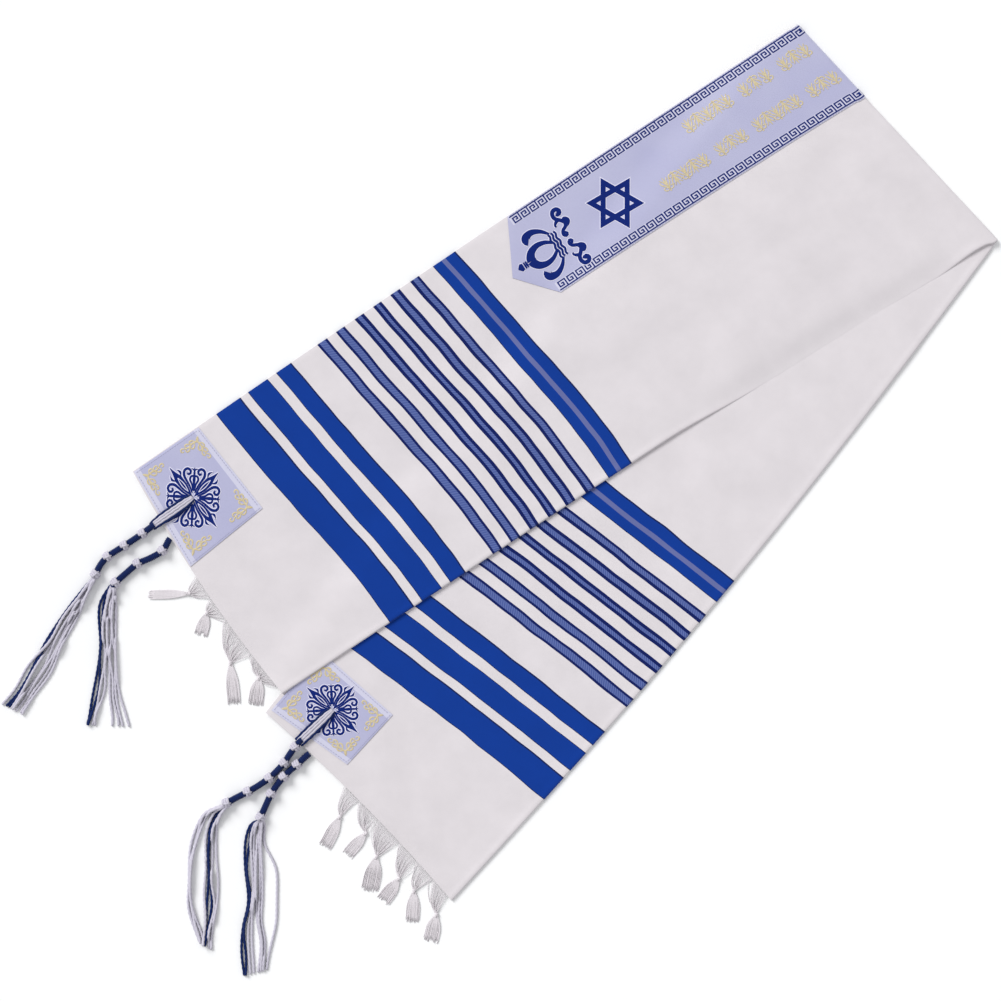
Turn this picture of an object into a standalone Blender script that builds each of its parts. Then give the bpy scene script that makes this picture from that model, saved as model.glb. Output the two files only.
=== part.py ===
"""A prayer shawl folded lengthwise, then crosswise, and laid flat.

The cloth is a long rectangle. It is first folded in half lengthwise, so that each long band
has a folded edge and an open edge, and then in half crosswise, so that an upper band lies on
a lower band. The two bands fan apart below the crosswise fold. A neckband is sewn on along the
open edge and runs round the fold, a patch is sewn on each corner that shows, and four knotted
tassels and the fringes of both ends lie on the surface.

Metres, +Z up. The origin lies under the middle of the whole thing, on the surface it rests on.
"""

import math

import bmesh
import bpy
from mathutils import Vector

MM = 0.001

# Cloth
PLY = 1.8 * MM  # one ply with the air under it
BAND = 2 * PLY  # the two plies of one band
GAP = 0.35 * MM  # between two pieces that touch
DROP = 45 * MM  # how far the upper band takes to come down beside the lower one

# The crosswise fold, from its lower corner up to the open edges
FOLD_CORNER = Vector((0.5398, 0.2821))
FOLD_LENGTH = 0.3197
FOLD_HEADING = 133.01

# Long edges: length, heading in degrees from +X, how far the edge bows out, and a power that
# moves the bow towards the crosswise fold when it is under 1
LONG_EDGES = {
    "upper_open": {"length": 0.8681, "heading": 213.92, "bow": 0.003, "power": 1.0},
    "upper_folded": {"length": 0.9184, "heading": 212.36, "bow": -0.010, "power": 0.6},
    "lower_open": {"length": 0.9425, "heading": 232.32, "bow": 0.0, "power": 1.0},
    "lower_folded": {"length": 0.9294, "heading": 230.40, "bow": 0.015, "power": 1.0},
}
END_BOW = {"upper": 0.007, "lower": -0.005}  # how far each band's end bows out at its middle

# Edge sections, from the top surface down: how far out in mm, share of the height above what
# the edge stands on, and mm added to it
EDGE_COLUMNS = ("out", "up", "swell")
EDGE_SECTIONS = {
    # two raw plies, the under one showing a little
    "lips": (
        (-1.5, 1.00, 0.0),
        (-0.7, 0.97, 0.0),
        (-0.4, 0.80, 0.0),
        (-0.6, 0.61, 0.0),
        (-2.2, 0.56, 0.0),
        (-2.2, 0.46, 0.0),
        (0.0, 0.40, 0.0),
        (0.3, 0.18, 0.0),
        (-0.5, 0.00, 0.0),
    ),
    # a soft lengthwise fold on the ground
    "bead": (
        (-6.0, 1.00, 0.2),
        (-3.6, 1.00, 0.6),
        (-1.7, 0.97, 0.5),
        (-0.6, 0.85, 0.2),
        (0.0, 0.64, 0.0),
        (0.0, 0.44, 0.0),
        (-0.5, 0.24, 0.0),
        (-1.4, 0.08, 0.0),
        (-2.6, 0.00, 0.0),
    ),
    # the crosswise fold through all four plies
    "turn": (
        (-9.0, 1.00, 0.3),
        (-6.0, 1.00, 0.9),
        (-3.0, 0.97, 0.8),
        (-1.0, 0.84, 0.5),
        (0.0, 0.62, 0.0),
        (0.0, 0.42, 0.0),
        (-0.8, 0.22, 0.0),
        (-2.4, 0.07, 0.0),
        (-4.5, 0.00, 0.0),
    ),
    # the upper band's folded edge, overhanging the lower band
    "over": (
        (-6.0, 1.00, 0.2),
        (-3.6, 1.00, 0.6),
        (-1.7, 0.97, 0.5),
        (-0.6, 0.84, 0.2),
        (0.0, 0.60, 0.0),
        (-0.3, 0.32, 0.0),
        (-1.6, 0.14, 0.0),
        (-4.0, 0.12, 0.0),
        (-4.5, 0.00, 0.0),
    ),
    # the same edge flattened to a soft crease
    "crease": (
        (-20.0, 1.00, 0.0),
        (-15.0, 0.94, 0.0),
        (-10.5, 0.78, 0.0),
        (-6.5, 0.56, 0.0),
        (-2.5, 0.32, 0.0),
        (1.5, 0.12, 0.0),
        (4.5, 0.02, 0.0),
        (6.0, -0.12, 0.0),
        (6.0, 0.00, 0.0),
    ),
    # the lower band's start, inside the crosswise fold
    "inside": (
        (-6.0, 1.00, 0.0),
        (-6.0, 0.88, 0.0),
        (-6.0, 0.75, 0.0),
        (-6.0, 0.62, 0.0),
        (-6.0, 0.50, 0.0),
        (-6.0, 0.38, 0.0),
        (-6.0, 0.25, 0.0),
        (-6.0, 0.12, 0.0),
        (-6.0, 0.00, 0.0),
    ),
}
ON_LOWER = ("over", "crease")  # sections that stand on the lower band
# Which section the upper band's folded edge has, by share of its length
UPPER_FOLDED_SECTIONS = (
    (0.00, "turn"),
    (0.03, "turn"),
    (0.09, "crease"),
    (0.32, "crease"),
    (0.46, "over"),
    (1.00, "over"),
)

# Low ridges in the cloth: the band, both ends as share along and across, width and height
RIDGE_COLUMNS = ("band", "along1", "across1", "along2", "across2", "width", "height")
RIDGES = (
    ("upper", 0.02, 0.55, 0.30, 0.80, 0.030, 0.0009),
    ("upper", 0.10, 0.45, 0.42, 0.62, 0.036, 0.0008),
    ("upper", 0.50, 0.15, 0.66, 0.50, 0.030, 0.0009),
    ("upper", 0.58, 0.60, 0.72, 0.92, 0.026, 0.0008),
    ("lower", 0.18, 0.95, 0.46, 0.72, 0.034, 0.0009),
    ("lower", 0.52, 0.90, 0.70, 0.70, 0.028, 0.0008),
)
RIDGES_END = (0.68, 0.80)  # shares of the length over which ridges die away before the patches

# Grid lines along each band: share at the open edge, at the folded edge, and number of cells
# since the line before. Lines across it: share from open to folded edge, and number of cells
UPPER_ALONG = ((0.434, 0.451, 21), (0.468, 0.485, 2), (1.0, 1.0, 24))
LOWER_ALONG = ((1.0, 1.0, 38),)
UPPER_ACROSS = ((0.315, 5), (0.90, 8), (1.0, 1))
LOWER_ACROSS = ((1.0, 12),)

# Neckband
NECKBAND_THICK = 0.8 * MM
NECKBAND_ROWS = 21  # grid rows that its straight part covers
NECKBAND_COLUMNS = 5
NECKBAND_WRAP = 6  # section points of the fold that it follows down
NECKBAND_POINT = 0.034  # share of the length that its pointed end adds

# Patches: corners as distances from the band's end and from its open edge
PATCH_THICK = 0.9 * MM
PATCH_HEM = 4 * MM
PATCH_RAISE = 0.25 * MM
PATCH_CORNERS = {
    "upper": ((0.0025, 0.0030), (0.0860, 0.0030), (0.0985, 0.1120), (0.0025, 0.1205)),
    "lower": ((0.0060, 0.0030), (0.0900, 0.0080), (0.0937, 0.1080), (0.0190, 0.1040)),
}
PATCH_CLEARANCE = 2.0 * MM  # from the upper band's folded edge, which hides one corner

# Corner tassels, in mm: the stem's points, where the first and the last strand end, and how
# far those two bow out on the way
TASSEL_COLUMNS = ("x", "y", "z", "half")
KNOT_HALF = 4.9
STEM_HALF = 3.5
FLOOR_CLEARANCE = 0.3 * MM
TASSELS = {
    "tzitzit_upper_patch": {
        "stem": (
            (-333.6, 3.3, 7.6, 2.3),
            (-341.5, -2.3, 8.4, 3.1),
            (-355.0, -11.8, 8.6, 3.2),
            (-369.4, -21.7, 8.3, 3.3),
            (-378.0, -28.4, 6.9, STEM_HALF),
            (-387.9, -35.8, 5.6, KNOT_HALF),
            (-397.6, -42.4, 4.2, STEM_HALF),
            (-407.4, -48.8, 5.3, KNOT_HALF),
            (-416.6, -54.6, 4.2, STEM_HALF),
            (-425.9, -60.8, 5.3, KNOT_HALF),
            (-433.5, -69.6, 4.2, STEM_HALF),
            (-438.9, -79.7, 5.3, KNOT_HALF),
            (-442.5, -86.6, 4.2, STEM_HALF),
        ),
        "ends": ((-516.6, -232.6), (-539.0, -216.5)),
        "bows": (-7.0, 9.0),
    },
    "tzitzit_upper_under": {
        "stem": (
            (-358.7, -41.3, 4.1, STEM_HALF),
            (-366.3, -54.4, 5.3, KNOT_HALF),
            (-380.0, -62.6, 4.2, STEM_HALF),
            (-393.3, -68.4, 5.3, KNOT_HALF),
            (-405.4, -78.4, 4.2, STEM_HALF),
            (-417.2, -89.0, 5.3, KNOT_HALF),
            (-421.5, -96.0, 4.2, STEM_HALF),
        ),
        "ends": ((-404.2, -243.0), (-449.5, -246.3)),
        "bows": (1.0, 8.0),
    },
    "tzitzit_lower_patch": {
        "stem": (
            (-181.7, -226.8, 7.6, 2.3),
            (-189.0, -233.8, 8.4, 3.1),
            (-206.0, -250.0, 8.6, 3.2),
            (-221.9, -265.3, 8.3, 3.3),
            (-228.4, -275.0, 6.9, STEM_HALF),
            (-234.4, -284.3, 5.6, KNOT_HALF),
            (-241.8, -292.4, 4.2, STEM_HALF),
            (-250.6, -300.8, 5.3, KNOT_HALF),
            (-262.2, -308.9, 4.2, STEM_HALF),
            (-274.0, -315.7, 5.3, KNOT_HALF),
            (-286.5, -322.2, 4.2, STEM_HALF),
            (-297.8, -328.8, 5.3, KNOT_HALF),
            (-302.5, -336.0, 4.2, STEM_HALF),
        ),
        "ends": ((-312.0, -486.5), (-332.5, -480.0)),
        "bows": (-12.0, 17.0),
    },
    "tzitzit_lower_under": {
        "stem": (
            (-207.4, -274.2, 4.1, STEM_HALF),
            (-213.6, -279.8, 4.2, STEM_HALF),
            (-220.5, -286.2, 5.3, KNOT_HALF),
            (-227.6, -292.0, 4.2, STEM_HALF),
            (-234.8, -299.4, 5.3, KNOT_HALF),
            (-242.0, -308.0, 4.2, STEM_HALF),
            (-248.4, -317.6, 5.5, KNOT_HALF),
            (-254.2, -330.0, 4.2, STEM_HALF),
            (-259.9, -342.9, 5.3, KNOT_HALF),
            (-261.6, -351.0, 4.2, STEM_HALF),
        ),
        "ends": ((-253.0, -518.3), (-280.0, -511.5)),
        "bows": (-11.0, 7.0),
    },
}
STEM_CELLS = (4, 2)  # cells across and up in a stem: one for each strand
STRAND_WIDE = 2.0 * MM
STRAND_HIGH = 1.9 * MM
STRAND_STEPS = 7
STRAND_FAN = 0.2  # share of a strand's length in which they spread side by side
STRAND_LANDED = 0.36  # share at which the upper ones lie on the surface too

# Fringe: place along the band's end, knot and tip in mm
FRINGE_COLUMNS = ("along", "knot_x", "knot_y", "tip_x", "tip_y", "spread")
FRINGES = {
    "fringe_upper": {
        "band": "upper",
        "from": 0.455,
        "to": 0.965,
        "tassels": (
            (0.500, -338.0, -101.0, -381.0, -102.0, 9.0),
            (0.585, -318.5, -122.0, -325.0, -146.0, 9.0),
            (0.725, -293.0, -176.0, -288.5, -220.0, 11.0),
            (0.890, -262.0, -192.0, -266.0, -221.0, 10.0),
        ),
    },
    "fringe_lower": {
        "band": "lower",
        "from": 0.405,
        "to": 0.975,
        "tassels": (
            (0.435, -174.1, -342.9, -190.4, -375.4, 9.0),
            (0.520, -146.0, -361.0, -166.0, -384.0, 9.0),
            (0.625, -134.5, -386.0, -142.0, -423.2, 11.0),
            (0.765, -110.1, -410.1, -127.5, -434.5, 9.0),
            (0.847, -93.9, -423.2, -95.5, -456.8, 9.0),
            (0.938, -69.5, -449.0, -76.0, -478.0, 9.0),
        ),
    },
}
FRINGE_CELLS = 60  # cells along each strip
FRINGE_BASE = 4  # cells, and strands, of each small tassel
STRIP_GAP = 0.85 * MM  # from the band's end line, past which its under ply reaches a little
STRIP_WIDE = 2.0 * MM
STRIP_HIGH = 1.8 * MM
FRINGE_KNOT = 5.0 * MM
FRINGE_STEPS = 3

COLOURS = {
    "shawl_cloth": ((0.80, 0.78, 0.79), 0.85),
    "neckband": ((0.60, 0.62, 0.86), 0.45),
    "patch": ((0.60, 0.62, 0.86), 0.45),
    "tzitzit": ((0.78, 0.78, 0.80), 0.80),
    "fringe": ((0.76, 0.75, 0.74), 0.90),
}


def heading(degrees):
    """Unit vector in the plan at this many degrees from +X."""
    return Vector((math.cos(math.radians(degrees)), math.sin(math.radians(degrees))))


def ease(share):
    """0 to 1 with flat ends, and held outside them."""
    share = min(max(share, 0.0), 1.0)
    return share * share * (3 - 2 * share)


FOLD_TOP = FOLD_CORNER + heading(FOLD_HEADING) * FOLD_LENGTH


def long_edge_point(name, share):
    """Point of a long edge, this share of the way from the crosswise fold to the band's end."""
    edge = LONG_EDGES[name]
    is_open = name.endswith("open")
    start = FOLD_TOP if is_open else FOLD_CORNER
    out = heading(edge["heading"] + (-90 if is_open else 90))
    bow = edge["bow"] * math.sin(math.pi * share ** edge["power"])
    return start + heading(edge["heading"]) * edge["length"] * share + out * bow


def end_out(band):
    """Direction that a band's end faces, in the plan."""
    along_end = long_edge_point(f"{band}_folded", 1.0) - long_edge_point(f"{band}_open", 1.0)
    return Vector((along_end.y, -along_end.x)).normalized()


def band_point(band, along, across):
    """Point of a band in the plan: share of its length, and share from open to folded edge."""
    first = long_edge_point(f"{band}_open", along)
    second = long_edge_point(f"{band}_folded", along)
    bow = END_BOW[band] * 4 * across * (1 - across) * along**4
    return first.lerp(second, across) + end_out(band) * bow


def over_lower(point):
    """1 where the lower band lies beneath this point, easing to 0 beside it."""
    inwards = heading(LONG_EDGES["lower_open"]["heading"] + 90)
    return ease(1 + (point - FOLD_TOP).dot(inwards) / DROP)


def ridge_height(band, along, across):
    """Height of the low ridges in the cloth at this place."""
    point = band_point(band, along, across)
    height = 0.0
    for values in RIDGES:
        ridge = dict(zip(RIDGE_COLUMNS, values))
        if ridge["band"] != band:
            continue
        start = band_point(band, ridge["along1"], ridge["across1"])
        line = band_point(band, ridge["along2"], ridge["across2"]) - start
        share = min(max((point - start).dot(line) / line.length_squared, 0.0), 1.0)
        away = (point - start - line * share).length / ridge["width"]
        height += ridge["height"] * math.exp(-away * away)
    first, last = RIDGES_END
    return height * (1 - ease((along - first) / (last - first)))


def top_height(band, along, across):
    """Height of a band's top surface."""
    height = BAND + ridge_height(band, along, across)
    if band == "upper":
        height += BAND * over_lower(band_point(band, along, across))
    return height


def on_top(band, along, across, raised=0.0):
    """Point of a band's top surface, or above it."""
    point = band_point(band, along, across)
    return Vector((point.x, point.y, top_height(band, along, across) + raised))


def along_lines(lines):
    """Rows of a band's grid, each its share at the open edge and at the folded edge."""
    rows = [(0.0, 0.0)]
    for at_open, at_folded, cells in lines:
        start = rows[-1]
        for step in range(1, cells + 1):
            share = step / cells
            open_share = start[0] + (at_open - start[0]) * share
            rows.append((open_share, start[1] + (at_folded - start[1]) * share))
    return rows


def across_lines(lines):
    """Columns of a band's grid, as shares from the open to the folded edge."""
    columns = [0.0]
    for at, cells in lines:
        start = columns[-1]
        columns += [start + (at - start) * step / cells for step in range(1, cells + 1)]
    return columns


def section_points(kind, base, out, top):
    """Points of an edge section at this place of the edge, from the top surface down."""
    stands_on = BAND if kind in ON_LOWER else 0.0
    points = []
    for values in EDGE_SECTIONS[kind]:
        row = dict(zip(EDGE_COLUMNS, values))
        place = base + out * row["out"] * MM
        height = stands_on + row["up"] * (top - stands_on) + row["swell"] * MM
        points.append(Vector((place.x, place.y, height)))
    points[-1].z = 0.0
    return points


def folded_section(base, out, top, along):
    """Section of the upper band's folded edge, which changes along its length."""
    for (first, kind1), (last, kind2) in zip(UPPER_FOLDED_SECTIONS, UPPER_FOLDED_SECTIONS[1:]):
        if along <= last:
            mix = ease((along - first) / (last - first))
            one = section_points(kind1, base, out, top)
            two = section_points(kind2, base, out, top)
            return [a.lerp(b, mix) for a, b in zip(one, two)]
    return section_points(kind2, base, out, top)


def edge_section(band, row, column, rows, columns):
    """Points from the top surface down to the ground at a border place of the band's grid."""
    at_open, at_folded = rows[row]
    across = columns[column]
    along = at_open + (at_folded - at_open) * across
    base = band_point(band, along, across)
    top = top_height(band, along, across)
    sides = []
    if row == 0:
        out = heading(FOLD_HEADING - 90)
        sides.append(section_points("turn" if band == "upper" else "inside", base, out, top))
    if row == len(rows) - 1:
        sides.append(section_points("lips", base, end_out(band), top))
    if column == 0:
        out = heading(LONG_EDGES[f"{band}_open"]["heading"] - 90)
        sides.append(section_points("lips", base, out, top))
    if column == len(columns) - 1:
        out = heading(LONG_EDGES[f"{band}_folded"]["heading"] + 90)
        if band == "upper":
            sides.append(folded_section(base, out, top, along))
        else:
            sides.append(section_points("bead", base, out, top))
    flat = Vector((base.x, base.y, 0.0))
    points = []
    for parts in zip(*sides):
        place = flat + sum((part - flat for part in parts), Vector())
        place.z = sum(part.z for part in parts) / len(parts)
        points.append(place)
    return points


def band_lattice(band):
    """Top points of a band by row and column, and the sections that go down round its border."""
    rows = along_lines(UPPER_ALONG if band == "upper" else LOWER_ALONG)
    columns = across_lines(UPPER_ACROSS if band == "upper" else LOWER_ACROSS)
    top = {}
    border = {}
    for row, (at_open, at_folded) in enumerate(rows):
        for column, across in enumerate(columns):
            if row in (0, len(rows) - 1) or column in (0, len(columns) - 1):
                border[row, column] = edge_section(band, row, column, rows, columns)
                top[row, column] = border[row, column][0]
            else:
                top[row, column] = on_top(band, at_open + (at_folded - at_open) * across, across)
    return top, border, len(rows) - 1, len(columns) - 1


def new_grid(bm, rows, columns):
    """A grid of cells, and its vertices by row and column."""
    found = bmesh.ops.create_grid(bm, x_segments=columns, y_segments=rows, size=0.5)["verts"]
    return {(round((v.co.y + 0.5) * rows), round((v.co.x + 0.5) * columns)): v for v in found}


def finish_object(name, bm, colour, helper=False):
    """Close a mesh into a named object with its own material."""
    bmesh.ops.recalc_face_normals(bm, faces=bm.faces)
    if bm.calc_volume(signed=True) < 0:
        bmesh.ops.reverse_faces(bm, faces=bm.faces)
    mesh = bpy.data.meshes.new(name)
    bm.to_mesh(mesh)
    bm.free()
    made = bpy.data.objects.new(name, mesh)
    bpy.context.scene.collection.objects.link(made)
    base_colour, roughness = COLOURS[colour]
    material = bpy.data.materials.new(name)
    material.use_nodes = True
    shader = material.node_tree.nodes["Principled BSDF"]
    shader.inputs["Base Color"].default_value = (*base_colour, 1.0)
    shader.inputs["Roughness"].default_value = roughness
    shader.inputs["Metallic"].default_value = 0.0
    mesh.materials.append(material)
    mesh.shade_smooth()
    mesh.set_sharp_from_angle(angle=math.radians(45))
    if helper:
        made.hide_render = True
        made.display_type = "WIRE"
    return made


def band_solid(band, name, helper):
    """One band as a solid: its top grid, the sections round its border, and a flat underside."""
    top, border, rows, columns = band_lattice(band)
    bm = bmesh.new()
    grid = new_grid(bm, rows, columns)
    for place, vertex in grid.items():
        vertex.co = top[place]
    loop = [(0, column) for column in range(columns)]
    loop += [(row, columns) for row in range(rows)]
    loop += [(rows, column) for column in range(columns, 0, -1)]
    loop += [(row, 0) for row in range(rows, 0, -1)]
    ring = [grid[place] for place in loop]
    for level in range(1, len(border[0, 0])):
        edges = [bm.edges.get((a, b)) for a, b in zip(ring, ring[1:] + ring[:1])]
        made = bmesh.ops.extrude_edge_only(bm, edges=edges)["geom"]
        new = {v for v in made if isinstance(v, bmesh.types.BMVert)}
        ring = [next(e.other_vert(v) for e in v.link_edges if e.other_vert(v) in new) for v in ring]
        for place, vertex in zip(loop, ring):
            vertex.co = border[place][level]
    edges = [bm.edges.get((a, b)) for a, b in zip(ring, ring[1:] + ring[:1])]
    bmesh.ops.contextual_create(bm, geom=edges)
    return finish_object(name, bm, "shawl_cloth", helper)


def make_cloth():
    """Both bands joined to one cloth, whose hidden plies are solid."""
    lower = band_solid("lower", "lower_band_form", helper=True)
    cloth = band_solid("upper", "shawl_cloth", helper=False)
    join = cloth.modifiers.new("lower_band", "BOOLEAN")
    join.operation = "UNION"
    join.solver = "EXACT"
    join.object = lower


def thicken(bm, thickness):
    """Move a sheet clear of what it lies on, and give it its thickness outwards."""
    bm.normal_update()
    if sum(face.normal.z for face in bm.faces) < 0:
        bmesh.ops.reverse_faces(bm, faces=bm.faces)
        bm.normal_update()
    for vertex, normal in [(v, v.normal.copy()) for v in bm.verts]:
        vertex.co += normal * GAP
    bm.normal_update()
    normals = [(v.co.copy(), v.normal.copy()) for v in bm.verts]
    made = bmesh.ops.extrude_face_region(bm, geom=bm.faces[:])["geom"]
    shifted = {tuple(co): normal for co, normal in normals}
    for vertex in [g for g in made if isinstance(g, bmesh.types.BMVert)]:
        vertex.co += shifted[tuple(vertex.co)] * thickness


def make_neckband():
    """The neckband, made from the cloth's own points along its open edge and round the fold."""
    top, border, _, _ = band_lattice("upper")
    rows = along_lines(UPPER_ALONG)
    columns = across_lines(UPPER_ACROSS)
    bm = bmesh.new()
    grid = new_grid(bm, NECKBAND_WRAP + NECKBAND_ROWS + 1, NECKBAND_COLUMNS)
    at_open, at_folded = rows[NECKBAND_ROWS]
    for (line, column), vertex in grid.items():
        row = line - NECKBAND_WRAP
        if row < 0:
            vertex.co = border[0, column][-row]
        elif row <= NECKBAND_ROWS:
            vertex.co = top[row, column]
        else:
            across = columns[column]
            middle = 1 - abs(2 * column / NECKBAND_COLUMNS - 1)
            along = at_open + (at_folded - at_open) * across + NECKBAND_POINT * middle
            vertex.co = top[NECKBAND_ROWS, column] if middle < 1e-6 else on_top("upper", along, across)
    bmesh.ops.remove_doubles(bm, verts=bm.verts, dist=0.01 * MM)
    thicken(bm, NECKBAND_THICK)
    finish_object("neckband", bm, "neckband")


def make_patch(band):
    """A corner patch with a turned hem, flat on its band and short of the edge that hides it."""
    lengths = [LONG_EDGES[f"{band}_open"]["length"], LONG_EDGES[f"{band}_folded"]["length"]]
    end_width = (long_edge_point(f"{band}_folded", 1.0) - long_edge_point(f"{band}_open", 1.0)).length
    bm = bmesh.new()
    corners = []
    for from_end, from_open in PATCH_CORNERS[band]:
        across = from_open / end_width
        length = lengths[0] + (lengths[1] - lengths[0]) * across
        place = band_point(band, 1 - from_end / length, across)
        corners.append(bm.verts.new((place.x, place.y, BAND + GAP)))
    bmesh.ops.contextual_create(bm, geom=corners)
    if band == "lower":
        first = long_edge_point("upper_folded", 0.8)
        line = long_edge_point("upper_folded", 1.0) - first
        away = Vector((-line.y, line.x)).normalized()
        place = first + away * PATCH_CLEARANCE
        bmesh.ops.bisect_plane(
            bm, geom=bm.verts[:] + bm.edges[:] + bm.faces[:],
            plane_co=(place.x, place.y, 0.0), plane_no=(-away.x, -away.y, 0.0), clear_outer=True,
        )
    made = bmesh.ops.extrude_face_region(bm, geom=bm.faces[:])["geom"]
    bmesh.ops.translate(
        bm,
        vec=(0, 0, PATCH_THICK - PATCH_RAISE),
        verts=[g for g in made if isinstance(g, bmesh.types.BMVert)],
    )
    cap = [g for g in made if isinstance(g, bmesh.types.BMFace)]
    bmesh.ops.inset_region(bm, faces=cap, thickness=PATCH_HEM, depth=0.0)
    bmesh.ops.translate(bm, vec=(0, 0, PATCH_RAISE), verts=list(cap[0].verts))
    finish_object(f"patch_{band}", bm, "patch")


def stem_place(row, forwards):
    """Function that places a stem's section points, given by two numbers from -1 to 1."""
    middle = Vector((row["x"], row["y"], row["z"])) * MM
    sideways = Vector((forwards.y, -forwards.x, 0.0))
    half = row["half"] * MM

    def place(across, up):
        return (
            middle
            + sideways * across * half * math.sqrt(1 - up * up / 2)
            + Vector((0, 0, up * half * math.sqrt(1 - across * across / 2)))
        )

    return place


def clear_old(bm, faces):
    """Delete the faces that an extrusion has left inside."""
    bmesh.ops.delete(bm, geom=[face for face in faces if face.is_valid], context="FACES")


def extrude_group(bm, faces, layers, place, is_first=False):
    """Extrude a group of faces together and set each new point by its two section numbers."""
    made = bmesh.ops.extrude_face_region(bm, geom=faces)["geom"]
    if not is_first:
        clear_old(bm, faces)
    for vertex in [g for g in made if isinstance(g, bmesh.types.BMVert)]:
        vertex.co = place(vertex[layers[0]], vertex[layers[1]])
    return [g for g in made if isinstance(g, bmesh.types.BMFace)]


def extrude_strand(bm, face, layers, sections):
    """Extrude one face through the centres, sideways directions, widths and heights given."""
    across = [v[layers[0]] for v in face.verts]
    up = [v[layers[1]] for v in face.verts]
    middle_across = sum(across) / len(across)
    middle_up = sum(up) / len(up)
    for centre, sideways, width, height in sections:
        before = face
        face = bmesh.ops.extrude_discrete_faces(bm, faces=[before])["faces"][0]
        clear_old(bm, [before])
        for vertex in face.verts:
            side = math.copysign(width / 2, vertex[layers[0]] - middle_across)
            rise = math.copysign(height / 2, vertex[layers[1]] - middle_up)
            vertex.co = centre + sideways * side + Vector((0, 0, rise))


def strand_sections(spec, column, level):
    """Sections of one strand of a corner tassel, from its stem to its tip on the surface."""
    root = dict(zip(TASSEL_COLUMNS, spec["stem"][-1]))
    start = Vector((root["x"], root["y"])) * MM
    first, last = (Vector(end) * MM for end in spec["ends"])
    order = (2 * column + level) / (2 * STEM_CELLS[0] - 1)
    middle_end = (first + last) / 2
    axis = (middle_end - start).normalized()
    sideways = Vector((axis.y, -axis.x))
    bow = spec["bows"][0] + (spec["bows"][1] - spec["bows"][0]) * order
    root_width = 2 * root["half"] * MM
    fan_width = 2 * STEM_CELLS[0] * STRAND_WIDE * 1.2
    end_width = (last - first).length
    low = FLOOR_CLEARANCE + STRAND_HIGH / 2
    sections = []
    for step in range(1, STRAND_STEPS + 1):
        share = step / STRAND_STEPS
        width = root_width + (fan_width - root_width) * ease(share / STRAND_FAN)
        width += (end_width - fan_width) * ease((share - STRAND_FAN) / (1 - STRAND_FAN))
        place = start.lerp(middle_end, share)
        place += sideways * ((order - 0.5) * width + bow * MM * math.sin(math.pi * share) ** 2)
        landed = ease((share - STRAND_FAN) / (STRAND_LANDED - STRAND_FAN))
        raised = level * (STRAND_HIGH + GAP) * (1 - landed)
        centre = Vector((place.x, place.y, low + raised))
        sections.append((centre, Vector((sideways.x, sideways.y, 0.0)), STRAND_WIDE, STRAND_HIGH))
    return sections


def make_tassel(name, spec):
    """A corner tassel: a knotted stem that ends in eight strands on the surface."""
    rows = [dict(zip(TASSEL_COLUMNS, values)) for values in spec["stem"]]
    across, up = STEM_CELLS
    bm = bmesh.new()
    layers = (bm.verts.layers.float.new("across"), bm.verts.layers.float.new("up"))
    grid = new_grid(bm, up, across)
    for (line, column), vertex in grid.items():
        vertex[layers[0]] = 2 * column / across - 1
        vertex[layers[1]] = 2 * line / up - 1
    faces = bm.faces[:]
    forwards = Vector((1.0, 0.0))
    for number, row in enumerate(rows):
        before = rows[max(number - 1, 0)]
        after = rows[min(number + 1, len(rows) - 1)]
        forwards = Vector((after["x"] - before["x"], after["y"] - before["y"])).normalized()
        place = stem_place(row, forwards)
        if number == 0:
            for vertex in bm.verts:
                vertex.co = place(vertex[layers[0]], vertex[layers[1]])
        else:
            faces = extrude_group(bm, faces, layers, place, is_first=number == 1)
    for face in faces:
        middle = sum(v[layers[0]] for v in face.verts) / 4
        column = int((middle + 1) / 2 * across)
        level = 1 if sum(v[layers[1]] for v in face.verts) > 0 else 0
        extrude_strand(bm, face, layers, strand_sections(spec, column, level))
    for layer_name in ("across", "up"):
        bm.verts.layers.float.remove(bm.verts.layers.float[layer_name])
    finish_object(name, bm, "tzitzit")


def fringe_place(centre, sideways, width, height, first, last):
    """Function that places a small tassel's section points by their number along the strip."""

    def place(number, up):
        share = (number - first) / (last - first) - 0.5
        return centre + sideways * share * width + Vector((0, 0, up * height / 2))

    return place


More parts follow.
